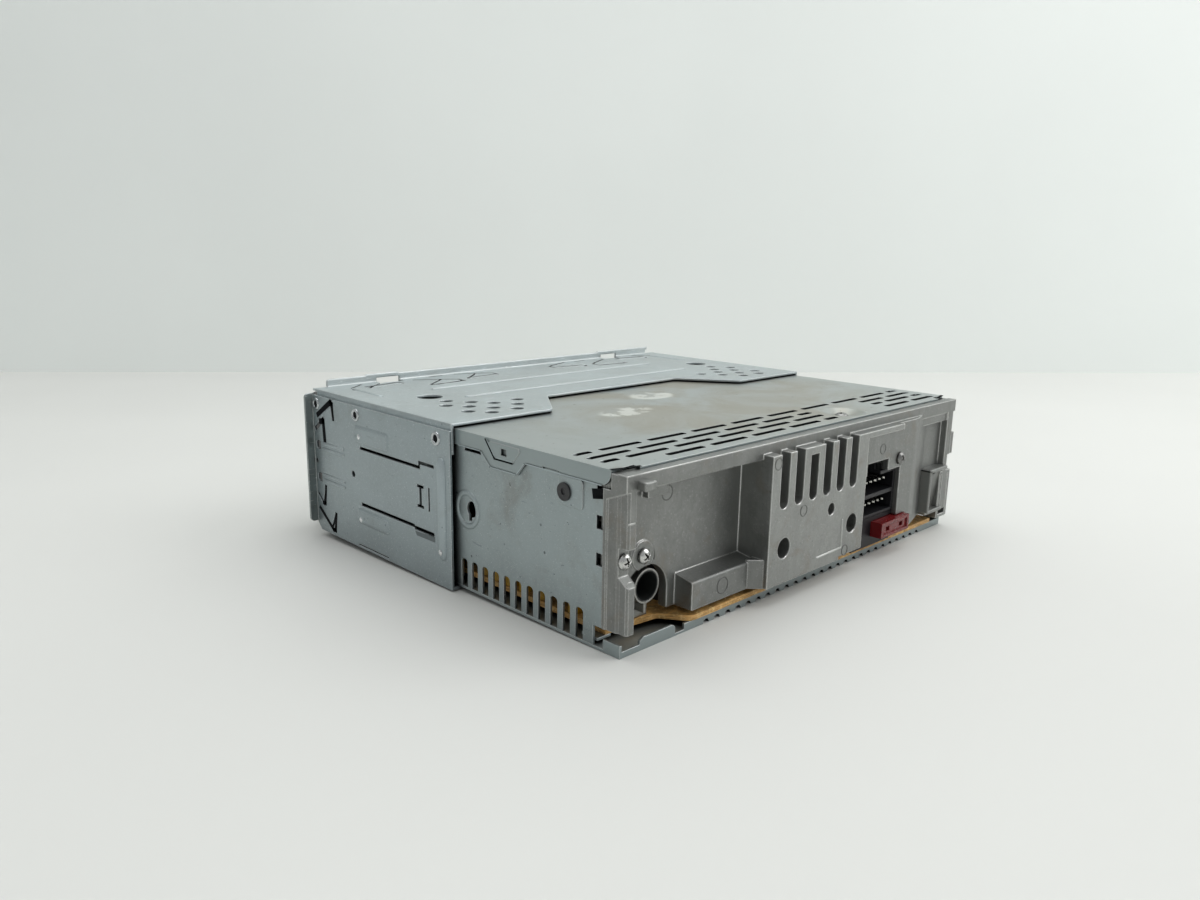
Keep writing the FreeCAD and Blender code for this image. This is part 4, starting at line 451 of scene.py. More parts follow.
def bright_metal(name, tint, rough, grain=(1, 1, 1), crevice_shade=0.0):
    """Plated or ground metal with fine turning marks and painted shade in its crevices."""
    f = Finish(name)
    soft, edge = f.round_edges(0.12 * MM)
    lines = f.noise(900.0, 3.0, 0.5, grain)
    cloud = f.noise(160.0, 4.0, 0.6)
    color = f.mix(f.span(cloud, 0.35, 0.65), shade(tint, 0.85), tint)
    # Painted shade in crevices.
    dark = f.span(f.crevice(1.2 * MM, 4), 0.35, 0.9, crevice_shade, 0.0)
    color = f.mix(dark, color, PAINTED_CREVICE_SHADE)
    color = f.over(color, edge, 0.4, RUBBED_NICKEL)
    roughness = f.span(lines, 0.3, 0.7, rough * 0.8, rough * 1.3)
    return f.finish(color, roughness, f.bump(lines, 0.01 * MM, 0.4, soft), Metallic=1.0)


def moulding(name, tint, rough, grain=1.0, dust=0.25, gloss=0.5):
    """Moulded plastic with a fine spark grain, rubbed edges and a little dust."""
    f = Finish(name)
    soft, edge = f.round_edges(0.25 * MM)
    texture = f.noise(2200.0, 2.0, 0.6)
    cloud = f.noise(45.0, 5.0, 0.6)
    film = f.span(f.noise(130.0, 6.0, 0.7, twist=0.3), 0.50, 0.75)
    color = f.mix(f.span(cloud, 0.35, 0.65), shade(tint, 0.85), shade(tint, 1.15))
    color = f.over(color, film, dust, DUST)
    color = f.over(color, edge, 0.35, shade(tint, 2.2))
    dull = f.span(cloud, 0.3, 0.7, rough * 0.9, rough * 1.12)
    roughness = f.plus(dull, f.times(film, 0.12))
    normal = f.bump(texture, 0.02 * MM, 0.35 * grain, soft)
    return f.finish(color, roughness, normal, Specular_IOR_Level=gloss)


def phenolic_board(name, tint):
    """Brown board edge: layered paper, torn fibres and a glossier face."""
    f = Finish(name)
    layers = f.noise(240.0, 3.0, 0.6, (1.0, 1.0, 16.0), 0.3)
    fibre = f.noise(620.0, 5.0, 0.75, (1.0, 1.0, 1.0), 0.8)
    cloud = f.noise(120.0, 4.0, 0.6)
    color = f.mix(f.span(layers, 0.35, 0.65), shade(tint, 0.62), shade(tint, 1.25))
    color = f.over(color, f.span(fibre, 0.50, 0.66), 0.7, TORN_FIBRE)
    color = f.over(color, f.span(cloud, 0.58, 0.72), 0.6, BOARD_BURN)
    height = f.plus(layers, fibre)
    return f.finish(color, f.span(cloud, 0.3, 0.7, 0.42, 0.65), f.bump(height, 0.12 * MM, 0.6))


def fuse_plastic(name, tint):
    """Clear tinted plastic of the fuse with flow lines and handling haze."""
    f = Finish(name)
    soft, edge = f.round_edges(0.25 * MM)
    haze = f.noise(130.0, 3.0, 0.55)
    color = f.mix(f.span(haze, 0.35, 0.7), shade(tint, 0.88), shade(tint, 1.14))
    color = f.over(color, edge, 0.30, shade(tint, 2.0))
    rough = f.span(haze, 0.3, 0.7, 0.14, 0.30)
    normal = f.bump(haze, 0.03 * MM, 0.25, soft)
    return f.finish(color, rough, normal, IOR=1.50, Transmission_Weight=0.18)


def clear_window(name, tint):
    """Tinted clear window with fine wiping marks."""
    f = Finish(name)
    wipes = f.noise(240.0, 3.0, 0.6, (1.0, 1.0, 9.0), 0.3)
    haze = f.noise(90.0, 4.0, 0.6)
    color = f.mix(f.span(haze, 0.35, 0.7), tint, shade(tint, 1.4))
    rough = f.span(wipes, 0.35, 0.7, 0.03, 0.10)
    return f.finish(color, rough, f.bump(wipes, 0.01 * MM, 0.15), IOR=1.49, Transmission_Weight=0.85)


def display_glass(name, tint):
    """Dark display glass with faint rows of unlit cells."""
    f = Finish(name)
    rims = []
    for index, step in CELL_SIZE:
        turns = f.sum("FRACT", f.times(f.axis(index), 1.0 / step), 0.0)
        rims.append(f.unsigned(f.sum("SUBTRACT", turns, 0.5)))
    cell = f.span(f.larger(*rims), 0.40, 0.36)
    haze = f.noise(140.0, 4.0, 0.6)
    color = f.mix(f.times(cell, 0.5), tint, shade(tint, 1.7))
    color = f.over(color, f.span(haze, 0.4, 0.7), 0.2, GLASS_HAZE)
    return f.finish(color, f.span(haze, 0.3, 0.7, 0.10, 0.22), f.bump(haze, 0.01 * MM, 0.1))


def rubber(name, tint):
    """Soft rubber with bloom and moulding lines."""
    f = Finish(name)
    bloom = f.noise(180.0, 6.0, 0.7)
    line = f.noise(700.0, 3.0, 0.5, (12.0, 1.0, 1.0))
    color = f.mix(f.span(bloom, 0.45, 0.75), tint, shade(tint, 2.4))
    height = f.plus(line, bloom)
    return f.finish(color, f.span(bloom, 0.3, 0.7, 0.72, 0.9), f.bump(height, 0.03 * MM, 0.4))


def green_board(name, tint):
    """Solder-masked board with faint track relief."""
    f = Finish(name)
    tracks = f.cells(190.0, (1.0, 1.0, 1.0), "DISTANCE_TO_EDGE", 0.25)
    cloud = f.noise(120.0, 4.0, 0.6)
    track = f.span(tracks, 0.09, 0.05)
    color = f.mix(f.times(track, 0.6), tint, shade(tint, 1.8))
    color = f.over(color, f.span(cloud, 0.5, 0.75), 0.3, shade(tint, 0.5))
    return f.finish(color, f.span(cloud, 0.3, 0.7, 0.25, 0.42), f.bump(track, 0.04 * MM, 0.5))


def sleeved_cans(name, sleeve, top):
    """Shrink sleeves in two tones with a little dust."""
    f = Finish(name)
    blend = f.noise(30.0, 1.0, 0.5)
    cloud = f.noise(300.0, 4.0, 0.6)
    color = f.mix(f.span(blend, 0.47, 0.53), sleeve, top)
    color = f.over(color, f.span(cloud, 0.5, 0.75), 0.3, shade(sleeve, 0.5))
    return f.finish(color, f.span(cloud, 0.3, 0.7, 0.22, 0.42), f.bump(cloud, 0.02 * MM, 0.3))


def paint_node(node, material):
    """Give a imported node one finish."""
    target = frame["nodes"][node]
    target.data.materials.clear()
    target.data.materials.append(material)


def paint_slot(slot, material):
    """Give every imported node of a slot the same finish."""
    for node, name in NODE_SLOT.items():
        if name == slot:
            paint_node(node, material)


def mesh_piece(name, build, body, material, smooth=True):
    """New piece from a bmesh builder, riding on a body."""
    mesh = bpy.data.meshes.new(name)
    work = bmesh.new()
    build(work)
    bmesh.ops.remove_doubles(work, verts=work.verts, dist=1e-6)
    bmesh.ops.recalc_face_normals(work, faces=work.faces)
    for face in work.faces:
        face.smooth = smooth
    work.to_mesh(mesh)
    work.free()
    piece = bpy.data.objects.new(name, mesh)
    bpy.context.scene.collection.objects.link(piece)
    mesh.materials.append(material)
    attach(piece, body)
    return piece


# A bead's width and height at six places along it, as shares, and the facets across a bead and
# across the rounded section of a ring
BEAD_SHARES = (0.25, 0.70, 1.0, 1.0, 0.70, 0.25)
BEAD_FACETS = 8
RING_FACETS = 6

# Largest facet of a pressed pad along it and across it, and how far its rim is sunk in the sheet
PAD_STEP_ALONG = 0.35 * MM
PAD_STEP_ACROSS = 0.25 * MM
PAD_RIM_SUNK = 0.02 * MM

# Cross recess of a screw: half the width of an arm, its slope, its depth, and how far it reaches
CROSS_HALF_WIDTH = 0.27 * MM
CROSS_SLOPE = 0.14 * MM
CROSS_DEPTH = 0.95 * MM
CROSS_END_SLOPE = 0.4 * MM
CROSS_REACH = 0.64

# Screw dome: its height at the rim as a share of the whole, and how sharply it falls there
DOME_RIM = 0.42
DOME_POWER = 2.6


def swept_ring(work, centre, across, up, radius, thickness, height, steps=40, arc=(0.0, 360.0)):
    """Low ring or arc with a rounded top, lying on a face; across and up span the face."""
    out = across.cross(up).normalized()
    profile = []
    for index in range(RING_FACETS + 1):
        angle = math.pi * index / RING_FACETS
        profile.append((math.cos(angle) * thickness / 2, math.sin(angle) * height))
    whole = abs(arc[1] - arc[0]) >= 359.9
    count = steps if whole else steps + 1
    rings = []
    for step in range(count):
        turn = math.radians(arc[0] + (arc[1] - arc[0]) * step / steps)
        heading = across * math.cos(turn) + up * math.sin(turn)
        points = []
        for offset, rise in profile:
            points.append(work.verts.new(centre + heading * (radius + offset) + out * rise))
        rings.append(points)
    pairs = count if whole else count - 1
    for step in range(pairs):
        first = rings[step]
        second = rings[(step + 1) % count]
        for index in range(len(profile) - 1):
            work.faces.new((first[index], first[index + 1], second[index + 1], second[index]))


def rounded_bar(work, start, end, out, width, height):
    """Low rounded bead from start to end on a face whose outward normal is out."""
    along = (end - start).normalized()
    side = out.cross(along).normalized()
    length = (end - start).length
    places = [0.0, width * 0.10, width * 0.5, length - width * 0.5, length - width * 0.10, length]
    previous = None
    for where, share in zip(places, BEAD_SHARES):
        ring = []
        for index in range(BEAD_FACETS + 1):
            angle = math.pi * index / BEAD_FACETS
            offset = side * math.cos(angle) * width / 2 * share
            rise = out * math.sin(angle) * height * share
            ring.append(work.verts.new(start + along * where + offset + rise))
        if previous is not None:
            for index in range(BEAD_FACETS):
                work.faces.new((previous[index], previous[index + 1], ring[index + 1], ring[index]))
        previous = ring


def smooth_share(value):
    """Value held to 0..1 and eased at both ends."""
    held = min(1.0, max(0.0, value))
    return held * held * (3.0 - 2.0 * held)


def pressed_pad(work, centre, across, up, half_length, half_width, corner, edge, height):
    """Low pad with soft edges and rounded corners, pressed out of a face."""
    out = across.cross(up).normalized()
    columns = max(12, int(half_length / PAD_STEP_ALONG))
    rows = max(10, int(half_width / PAD_STEP_ACROSS))
    grid = []
    for column in range(columns + 1):
        a = half_length * (2.0 * column / columns - 1.0)
        line = []
        for row in range(rows + 1):
            b = half_width * (2.0 * row / rows - 1.0)
            room_a = half_length - abs(a)
            room_b = half_width - abs(b)
            room = min(room_a, room_b)
            if room_a < corner and room_b < corner:
                room = corner - math.hypot(corner - room_a, corner - room_b)
            rise = height * smooth_share(room / edge) - PAD_RIM_SUNK
            line.append(work.verts.new(centre + across * a + up * b + out * rise))
        grid.append(line)
    for column in range(columns):
        for row in range(rows):
            near = grid[column]
            far = grid[column + 1]
            work.faces.new((near[row], far[row], far[row + 1], near[row + 1]))


def turned_cap(work, centre, across, up, radius, rise_at, rings=18, sides=48):
    """Round cap on a face; rise_at gives its height from a place on the face."""
    out = across.cross(up).normalized()
    previous = None
    hub = work.verts.new(centre + out * rise_at(0.0, 0.0))
    for ring in range(1, rings + 1):
        reach = radius * ring / rings
        circle = []
        for index in range(sides):
            turn = 2.0 * math.pi * index / sides
            a = reach * math.cos(turn)
            b = reach * math.sin(turn)
            circle.append(work.verts.new(centre + across * a + up * b + out * rise_at(a, b)))
        for index in range(sides):
            after = (index + 1) % sides
            if previous is None:
                work.faces.new((hub, circle[index], circle[after]))
            else:
                work.faces.new((previous[index], circle[index], circle[after], previous[after]))
        previous = circle
    return previous


def bowl(height, curve):
    """Height over a round cap: a middle height and how fast it grows with the square of the radius."""
    return lambda a, b: height + curve * (a * a + b * b)


def pan_screw(work, seat, across, up, radius, height, shank, length, turn):
    """Domed cross-head screw on its seat, with the shank behind it."""
    out = across.cross(up).normalized()
    first = across * math.cos(turn) + up * math.sin(turn)
    second = up * math.cos(turn) - across * math.sin(turn)

    def rise_at(a, b):
        reach = min(1.0, math.hypot(a, b) / radius)
        dome = height * (DOME_RIM + (1.0 - DOME_RIM) * (1.0 - reach ** DOME_POWER))
        narrow = min(abs(a), abs(b))
        wide = max(abs(a), abs(b))
        arm = smooth_share((CROSS_HALF_WIDTH - narrow) / CROSS_SLOPE)
        end = smooth_share((radius * CROSS_REACH - wide) / CROSS_END_SLOPE)
        return dome - CROSS_DEPTH * arm * end

    rim = turned_cap(work, seat, first, second, radius, rise_at)
    skirts = (rim,)
    for offset, reach in ((0.0, 1.0), (0.0, shank / radius), (-length, shank / radius)):
        circle = []
        for vertex in rim:
            flat = vertex.co - seat
            flat = flat - out * flat.dot(out)
            circle.append(work.verts.new(seat + flat * reach + out * offset))
        above = skirts[-1]
        for index in range(len(circle)):
            after = (index + 1) % len(circle)
            work.faces.new((above[index], circle[index], circle[after], above[after]))
        skirts = skirts + (circle,)
    work.faces.new(skirts[-1])


def soft_block(work, low, high, radius):
    """Block between two corners with its edges rounded."""
    corners = []
    for x in (low.x, high.x):
        for y in (low.y, high.y):
            for z in (low.z, high.z):
                corners.append(work.verts.new((x, y, z)))
    sides = ((0, 1, 3, 2), (4, 6, 7, 5), (0, 4, 5, 1), (2, 3, 7, 6), (0, 2, 6, 4), (1, 5, 7, 3))
    faces = [work.faces.new([corners[index] for index in side]) for side in sides]
    edges = {edge for face in faces for edge in face.edges}
    bmesh.ops.bevel(
        work, geom=list(edges), offset=radius, segments=3, profile=0.5, affect="EDGES", clamp_overlap=True,
    )


def print_stroke(work, origin, across, up, points, width):
    """Flat printed line through points given along across and up."""
    for (a, b), (c, d) in zip(points, points[1:]):
        start = origin + across * a + up * b
        end = origin + across * c + up * d
        along = (end - start).normalized()
        side = along.cross(across.cross(up).normalized()) * width / 2
        reach = along * width / 2
        ends = (start - reach - side, end + reach - side, end + reach + side, start - reach + side)
        work.faces.new([work.verts.new(corner) for corner in ends])


def color_setting(name, description, default):
    """Colour that a user can change."""
    return bpy.props.FloatVectorProperty(
        name=name, description=description, subtype="COLOR", size=3, default=default, min=0.0, max=1.0,
    )


def share_setting(name, description, default):
    """Share from 0 to 1 that a user can change."""
    return bpy.props.FloatProperty(
        name=name, description=description, subtype="FACTOR", default=default, min=0.0, max=1.0,
    )


def length_setting(name, description, default, low, high):
    """Length in metres that a user can change."""
    return bpy.props.FloatProperty(
        name=name, description=description, subtype="DISTANCE", unit="LENGTH",
        default=default, min=low, max=high,
    )


def power_setting(name, description, default):
    """Power of a lamp in watts."""
    return bpy.props.FloatProperty(
        name=name, description=description, subtype="POWER", unit="POWER",
        default=default, min=0.0, max=60.0,
    )


class SheetSettings(bpy.types.PropertyGroup):
    """Colours and wear of the pressed sheets."""

    sleeve_tint: color_setting("Sleeve", "Zinc colour of the mounting sleeve", (0.335, 0.385, 0.400))
    chassis_tint: color_setting("Chassis", "Zinc colour of the side sheets", (0.330, 0.378, 0.385))
    cover_tint: color_setting("Lid", "Zinc colour of the lid where it is clean", (0.360, 0.392, 0.385))
    cover_stain: color_setting("Lid stain", "Warm film left on the lid", (0.322, 0.306, 0.258))
    lip_tint: color_setting("Lid lip", "Zinc colour of the lid's folded lips", (0.315, 0.362, 0.366))
    edge_wear: share_setting("Edge wear", "How far the sheet edges are rubbed bright", 0.62)
    bead_height: length_setting(
        "Bead height", "How far the pressed beads and pads stand out", 0.52 * MM, 0.3 * MM, 0.9 * MM,
    )
    smudges: share_setting("Smudges", "Strength of the dull smudges", 0.16)


class CastingSettings(bpy.types.PropertyGroup):
    """Colour and marks of the finned casting."""

    tint: color_setting("Alloy", "Colour of the cast alloy", (0.262, 0.268, 0.258))
    edge_wear: share_setting("Edge wear", "How far the arrises are rubbed bright", 0.78)
    mark_height: length_setting(
        "Mark height", "How far the ejector marks stand proud", 0.20 * MM, 0.02 * MM, 0.4 * MM,
    )


class FittingSettings(bpy.types.PropertyGroup):
    """Colours of the screws, plugs, fuse and board."""

    screw_tint: color_setting("Bright screws", "Nickel colour of the cross-head screws", (0.62, 0.62, 0.60))
    board_tint: color_setting("Board", "Brown of the main board", (0.55, 0.31, 0.100))
    fuse_tint: color_setting("Fuse", "Red of the blade fuse", (0.190, 0.012, 0.014))
    screw_radius: length_setting(
        "Screw head radius", "Radius of the cross-head screws", 2.2 * MM, 1.6 * MM, 2.7 * MM,
    )
    plug_tint: color_setting("Plug housing", "Black of the plug housing", (0.010, 0.010, 0.012))


class FrontSettings(bpy.types.PropertyGroup):
    """Colours of the face and its controls."""

    face_tint: color_setting("Face", "Black of the face moulding", (0.022, 0.022, 0.024))
    key_tint: color_setting("Keys", "Dark grey of the keys", (0.045, 0.045, 0.050))
    window_tint: color_setting("Window", "Tint of the display window", (0.42, 0.44, 0.46))
    print_tint: color_setting("Key print", "Pale print on the numbered keys", (0.62, 0.62, 0.60))


class StageSettings(bpy.types.PropertyGroup):
    """Floor, wall, lamps and camera."""

    floor_tint: color_setting("Floor", "Colour of the floor", (0.675, 0.680, 0.655))
    wall_tint: color_setting("Wall", "Colour of the wall", (0.87, 0.905, 0.88))
    wall_distance: length_setting(
        "Wall distance", "From the camera to the wall along the floor", 0.815, 0.5, 2.0,
    )
    lens: bpy.props.FloatProperty(
        name="Lens", description="Focal length on a 36 mm wide sensor", subtype="DISTANCE_CAMERA",
        unit="CAMERA", default=27.62, min=10.0, max=100.0,
    )
    key_power: power_setting("Upper lamp", "Power of the large soft lamp above", 12.8)
    fill_power: power_setting("Side lamp", "Power of the soft lamp at the side", 7.0)
    sky: share_setting("Sky", "Strength of the even light all round", 0.46)


# Marks of the sheets in millimetres of the measuring datum: (y, z) on the sides, and (x, y) on the
# roof and the lid. A flat line starts with its width.
ROOF_RIBS = ((-47.5, 58.0), (-26.5, 58.5))
ROOF_STREAK = ((79.4, -66.0), (80.0, -45.0))
UPRIGHT_BEAD = ((5.3, 7.6), (5.3, 40.4))
FRONT_BEADS = tuple(((-69.0, z), (-54.0, z)) for z in (30.4, 32.4, 18.7, 20.7))
# The side claws' lines are painted shadow in their cuts.
SIDE_CLAWS = (
    (1.9, ((-71.3, 42.6), (-62.0, 48.2))),
    (1.3, ((-62.0, 48.4), (-60.6, 47.9), (-60.2, 42.4))),
    (2.1, ((-69.6, 40.3), (-67.6, 40.6), (-67.1, 34.0))),
    (1.5, ((-70.3, 9.7), (-69.0, 9.8), (-67.9, 16.2))),
    (1.5, ((-72.8, 7.2), (-63.6, 0.9), (-62.2, 1.0), (-61.2, 7.2))),
)
# The roof claws' lines are painted shadow in their cuts.
ROOF_CLAWS = (
    (1.1, ((73.9, -66.4), (60.9, -68.3), (58.0, -67.7))),
    (0.8, ((41.7, -72.9), (36.3, -72.8))),
    (1.0, ((51.1, -69.9), (40.4, -64.2), (36.4, -61.0))),
    (1.0, ((36.4, -61.0), (36.6, -57.0), (40.5, -56.4), (52.2, -55.8))),
    (0.9, ((29.7, -73.0), (19.0, -68.9), (15.6, -66.5))),
    (0.9, ((15.6, -66.5), (15.6, -63.6), (19.5, -63.0), (30.7, -62.3))),
    (0.9, ((73.0, -71.8), (79.4, -66.8), (81.0, -62.6))),
)
CLINCHES = ((-72.4, 46.3), (-44.7, 46.2), (2.9, 46.0))
# Patch of painted shade at the end of the tongue.
TONGUE_END = ((-9.8, 13.7), (1.3, 14.2), (1.3, 12.4), (-9.0, 12.3))
KEYHOLE = (15.0, 25.8)
# Lid lines: the crease, the rear corner gaps and the lip's end gap are painted shade, and the edge lines
# are painted highlights.
LID_CREASE = ((0.5, ((25.3, 49.3), (29.4, 44.3), (37.5, 44.3))),)
LID_EDGES = (
    (0.32, ((12.0, 45.4), (22.9, 45.4), (27.3, 41.45), (39.2, 41.45), (42.8, 45.35), (73.0, 45.4))),
    (0.32, ((26.0, 49.3), (29.8, 44.8), (37.3, 44.8))),
)
LID_CORNER_GAP = ((1.2, ((88.5, 76.2), (84.8, 77.2), (80.8, 78.1))),)
LIP_END_GAP = ((68.8, 43.6), (69.3, 40.9), (77.2, 42.4), (76.6, 45.6), (74.4, 44.6))

# Pads between the claws: middle, half length and half width, and the round studs ahead of them
SIDE_PADS = ((-35.0, 39.7, 10.9, 3.3), (-35.5, 10.7, 10.4, 2.9))
PAD_STUDS = ((-44.6, 38.9, 1.6, 1.6), (-44.6, 9.6, 1.6, 1.6))

# Painted glints on the studs and the upright bead, as bright dots: how far out they start, and where
PRESS_DOTS = ((0.45, (-42.6, 39.0)), (0.45, (-43.2, 9.5)), (0.90, (5.2, 10.3)))


def side_spots(reach, spots):
    """Centre and rearward direction of every (y, z) spot, on both sides at x = reach."""
    for side in SIDES:
        for y, z in spots:
            yield place(reach * side, y, z), BACK * side


def side_beads(work, reach, bars, width, height):
    """Rounded beads on both sides at x = reach, each from one (y, z) point to another."""
    for side in SIDES:
        for start, end in bars:
            foot = place(reach * side, *start)
            rounded_bar(work, foot, place(reach * side, *end), ACROSS * side, width, height)


def side_lines(work, reach, lines):
    """Flat lines on both sides at x = reach, each a width and its (y, z) points."""
    for side in SIDES:
        for width, line in lines:
            points = [(side * y * MM, z * MM) for y, z in line]
            print_stroke(work, place(reach * side, 0, 0), BACK * side, UP, points, width * MM)


def top_lines(work, level, lines):
    """Flat lines at z = level on both halves, each a width and its (x, y) points."""
    for side in SIDES:
        for width, line in lines:
            points = [(x * side * MM, y * MM) for x, y in line]
            print_stroke(work, place(0, 0, level), ACROSS, BACK, points, width * MM)


def side_patches(work, reach, corners):
    """Flat patch with (y, z) corners, on both sides at x = reach."""
    for side in SIDES:
        points = [place(reach * side, y, z) for y, z in corners]
        if side < 0.0:
            points.reverse()
        work.faces.new([work.verts.new(point) for point in points])


def side_pads(work, reach, pads, corner, edge, height):
    """Soft pads on both sides at x = reach, each with its middle, half length and half width."""
    for y, z, half_length, half_width in pads:
        for centre, along in side_spots(reach, ((y, z),)):
            pressed_pad(
                work, centre, along, UP, half_length * MM, half_width * MM, corner * MM, edge * MM, height,
            )


class PLAYER_OT_pressed_sheets(bpy.types.Operator):
    """Finish the sleeve, side sheets, lid and floor sheet, and round their pressings"""

    bl_idname = "disc_player.pressed_sheets"
    bl_label = "Pressed sheets"

    def execute(self, context):
        settings = context.scene.player_sheets
        wear = settings.edge_wear
        smudges = settings.smudges
        height = settings.bead_height
        zinc = rgb(settings.sleeve_tint)
        sleeve = plated_sheet("sleeve_zinc", zinc, wear, smudges, LINES_ACROSS)
        folded = plated_sheet("sleeve_roof_zinc", zinc, wear, smudges, LINES_ACROSS, 0.95)
        # A lighter copy of the zinc for the roof ribs and the lid's lip edges: rubbed, and lightened
        # further as painted highlights.
        rubbed = plated_sheet("rubbed_and_highlit_zinc", shade(zinc, 1.20), wear * 0.4, smudges * 0.5, LINES_ACROSS)
        # A lighter copy of the zinc for the side beads: painted highlight on them.
        beaded = plated_sheet("bead_painted_highlight_zinc", shade(zinc, 1.14), wear * 0.6, smudges, LINES_LEVEL)
        chassis = plated_sheet(
            "chassis_zinc", rgb(settings.chassis_tint), wear, smudges * 2.0, LINES_LEVEL, 0.40, 0.80, 0.8
        )
        lid = cover_sheet(
            "lid_zinc", rgb(settings.cover_tint), rgb(settings.cover_stain), rgb(settings.lip_tint), wear
        )
        paint_slot("sleeve_steel", sleeve)
        paint_node("sleeve_upper", folded)
        paint_slot("chassis_steel", chassis)
        paint_slot("cover_steel", lid)
        sunk_side = SLEEVE_SIDE - SUNK
        sunk_roof = SLEEVE_ROOF - SUNK

        def ribs(work):
            for y, half in ROOF_RIBS:
                end = place(-half, y, sunk_roof)
                rounded_bar(work, place(half, y, sunk_roof), end, UP, 1.6 * MM, height * 0.9)

        def beads(work):
            side_beads(work, sunk_side, (UPRIGHT_BEAD,), 4.2 * MM, height * 1.7)
            side_beads(work, sunk_side, FRONT_BEADS, 1.2 * MM, height * 0.8)

        def roof_streaks(work):
            for side in SIDES:
                start, end = (place(x * side, y, sunk_roof) for x, y in ROOF_STREAK)
                rounded_bar(work, start, end, UP, 2.4 * MM, height * 0.7)

        def claw_shadows(work):
            side_lines(work, SLEEVE_SIDE + PROUD, SIDE_CLAWS)

        def roof_claws(work):
            top_lines(work, SLEEVE_ROOF + PROUD, ROOF_CLAWS)

        def pads(work):
            side_pads(work, SLEEVE_SIDE, SIDE_PADS, 1.6, 1.0, height * 0.85)
            side_pads(work, SLEEVE_SIDE, PAD_STUDS, 1.6, 1.5, height * 1.3)

        def press_dots(work):
            for rise, spot in PRESS_DOTS:
                for centre, along in side_spots(sunk_side + rise, (spot,)):
                    turned_cap(work, centre, along, UP, 0.95 * MM, bowl(0.30 * MM, -330.0), 6, 24)

        def tongue_ends(work):
            side_patches(work, SLEEVE_SIDE + PROUD, TONGUE_END)

        def clinch_rings(work):
            for centre, along in side_spots(sunk_side, CLINCHES):
                swept_ring(work, centre, along, UP, 1.72 * MM, 1.15 * MM, 0.46 * MM)

        def clinch_pits(work):
            for centre, along in side_spots(sunk_side, CLINCHES):
                turned_cap(work, centre, along, UP, 1.15 * MM, bowl(0.04 * MM, 90.0), 5, 24)

        mesh_piece("sleeve_ribs", ribs, "sleeve", rubbed)
        mesh_piece("sleeve_side_beads", beads, "sleeve", beaded)
        mesh_piece("roof_streaks", roof_streaks, "sleeve", folded)
        # Near-black sheet for painted shadow in cuts, gaps and creases.
        painted_gap_shade = moulding("painted_gap_shadow", (0.008, 0.009, 0.010), 0.8, 0.4, 0.02, 0.06)
        mesh_piece("claw_shadows", claw_shadows, "sleeve", painted_gap_shade, False)
        # Dark sheet for painted shadow in the roof claws' cuts.
        painted_claw_shade = moulding("painted_claw_shadow", (0.050, 0.056, 0.058), 0.6, 0.4, 0.10)
        mesh_piece("roof_claws", roof_claws, "sleeve", painted_claw_shade, False)
        mesh_piece("sleeve_side_pads", pads, "sleeve", sleeve)
        # Very light metal for painted glints on the pressings.
        painted_glint_metal = bright_metal("press_painted_glint", (0.80, 0.82, 0.82), 0.22)
        mesh_piece("press_dots", press_dots, "sleeve", painted_glint_metal)
        # A darker copy of the zinc: painted shade in the tongue's hollow end.
        hollow = plated_sheet("tongue_painted_shade", shade(zinc, 0.42), 0.0, smudges, LINES_LEVEL)
        mesh_piece("tongue_ends", tongue_ends, "sleeve", hollow, False)
        # A metal much lighter than the sleeve: painted highlight on the clinched rings.
        clinched = bright_metal("clinched_zinc", (0.60, 0.63, 0.64), 0.24, crevice_shade=0.9)
        rings = mesh_piece("clinch_rings", clinch_rings, "sleeve", clinched)
        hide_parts("sleeve_rivets")
        pit = moulding("clinch_shadow", (0.008, 0.009, 0.010), 0.7, 0.5, 0.04, 0.10)
        mesh_piece("clinch_pits", clinch_pits, "sleeve", pit)

        def keyhole_dishes(work):
            for centre, along in side_spots(CHASSIS_SIDE - SUNK, (KEYHOLE,)):
                swept_ring(work, centre, along, UP, 5.2 * MM, 1.9 * MM, 0.50 * MM)

        def lip_gaps(work):
            side_patches(work, CHASSIS_SIDE + SUNK, LIP_END_GAP)

        def lip_creases(work):
            side_lines(work, LID_SIDE + PROUD, LID_CREASE)

        def lip_edges(work):
            side_lines(work, LID_SIDE + PROUD, LID_EDGES)

        def corner_gaps(work):
            top_lines(work, LID_TOP + PROUD, LID_CORNER_GAP)

        # Painted shadow in the gap at the lip's end.
        mesh_piece("lip_gaps", lip_gaps, "chassis", painted_gap_shade, False)
        mesh_piece("keyhole_dishes", keyhole_dishes, "chassis", chassis)
        # Painted shade in the lid's crease and at its rear corners, and painted highlights along the lip
        # edges.
        mesh_piece("lip_creases", lip_creases, "chassis", painted_gap_shade, False)
        mesh_piece("lip_edges", lip_edges, "chassis", rubbed, False)
        mesh_piece("corner_gaps", corner_gaps, "chassis", painted_gap_shade, False)
        return {"FINISHED"}


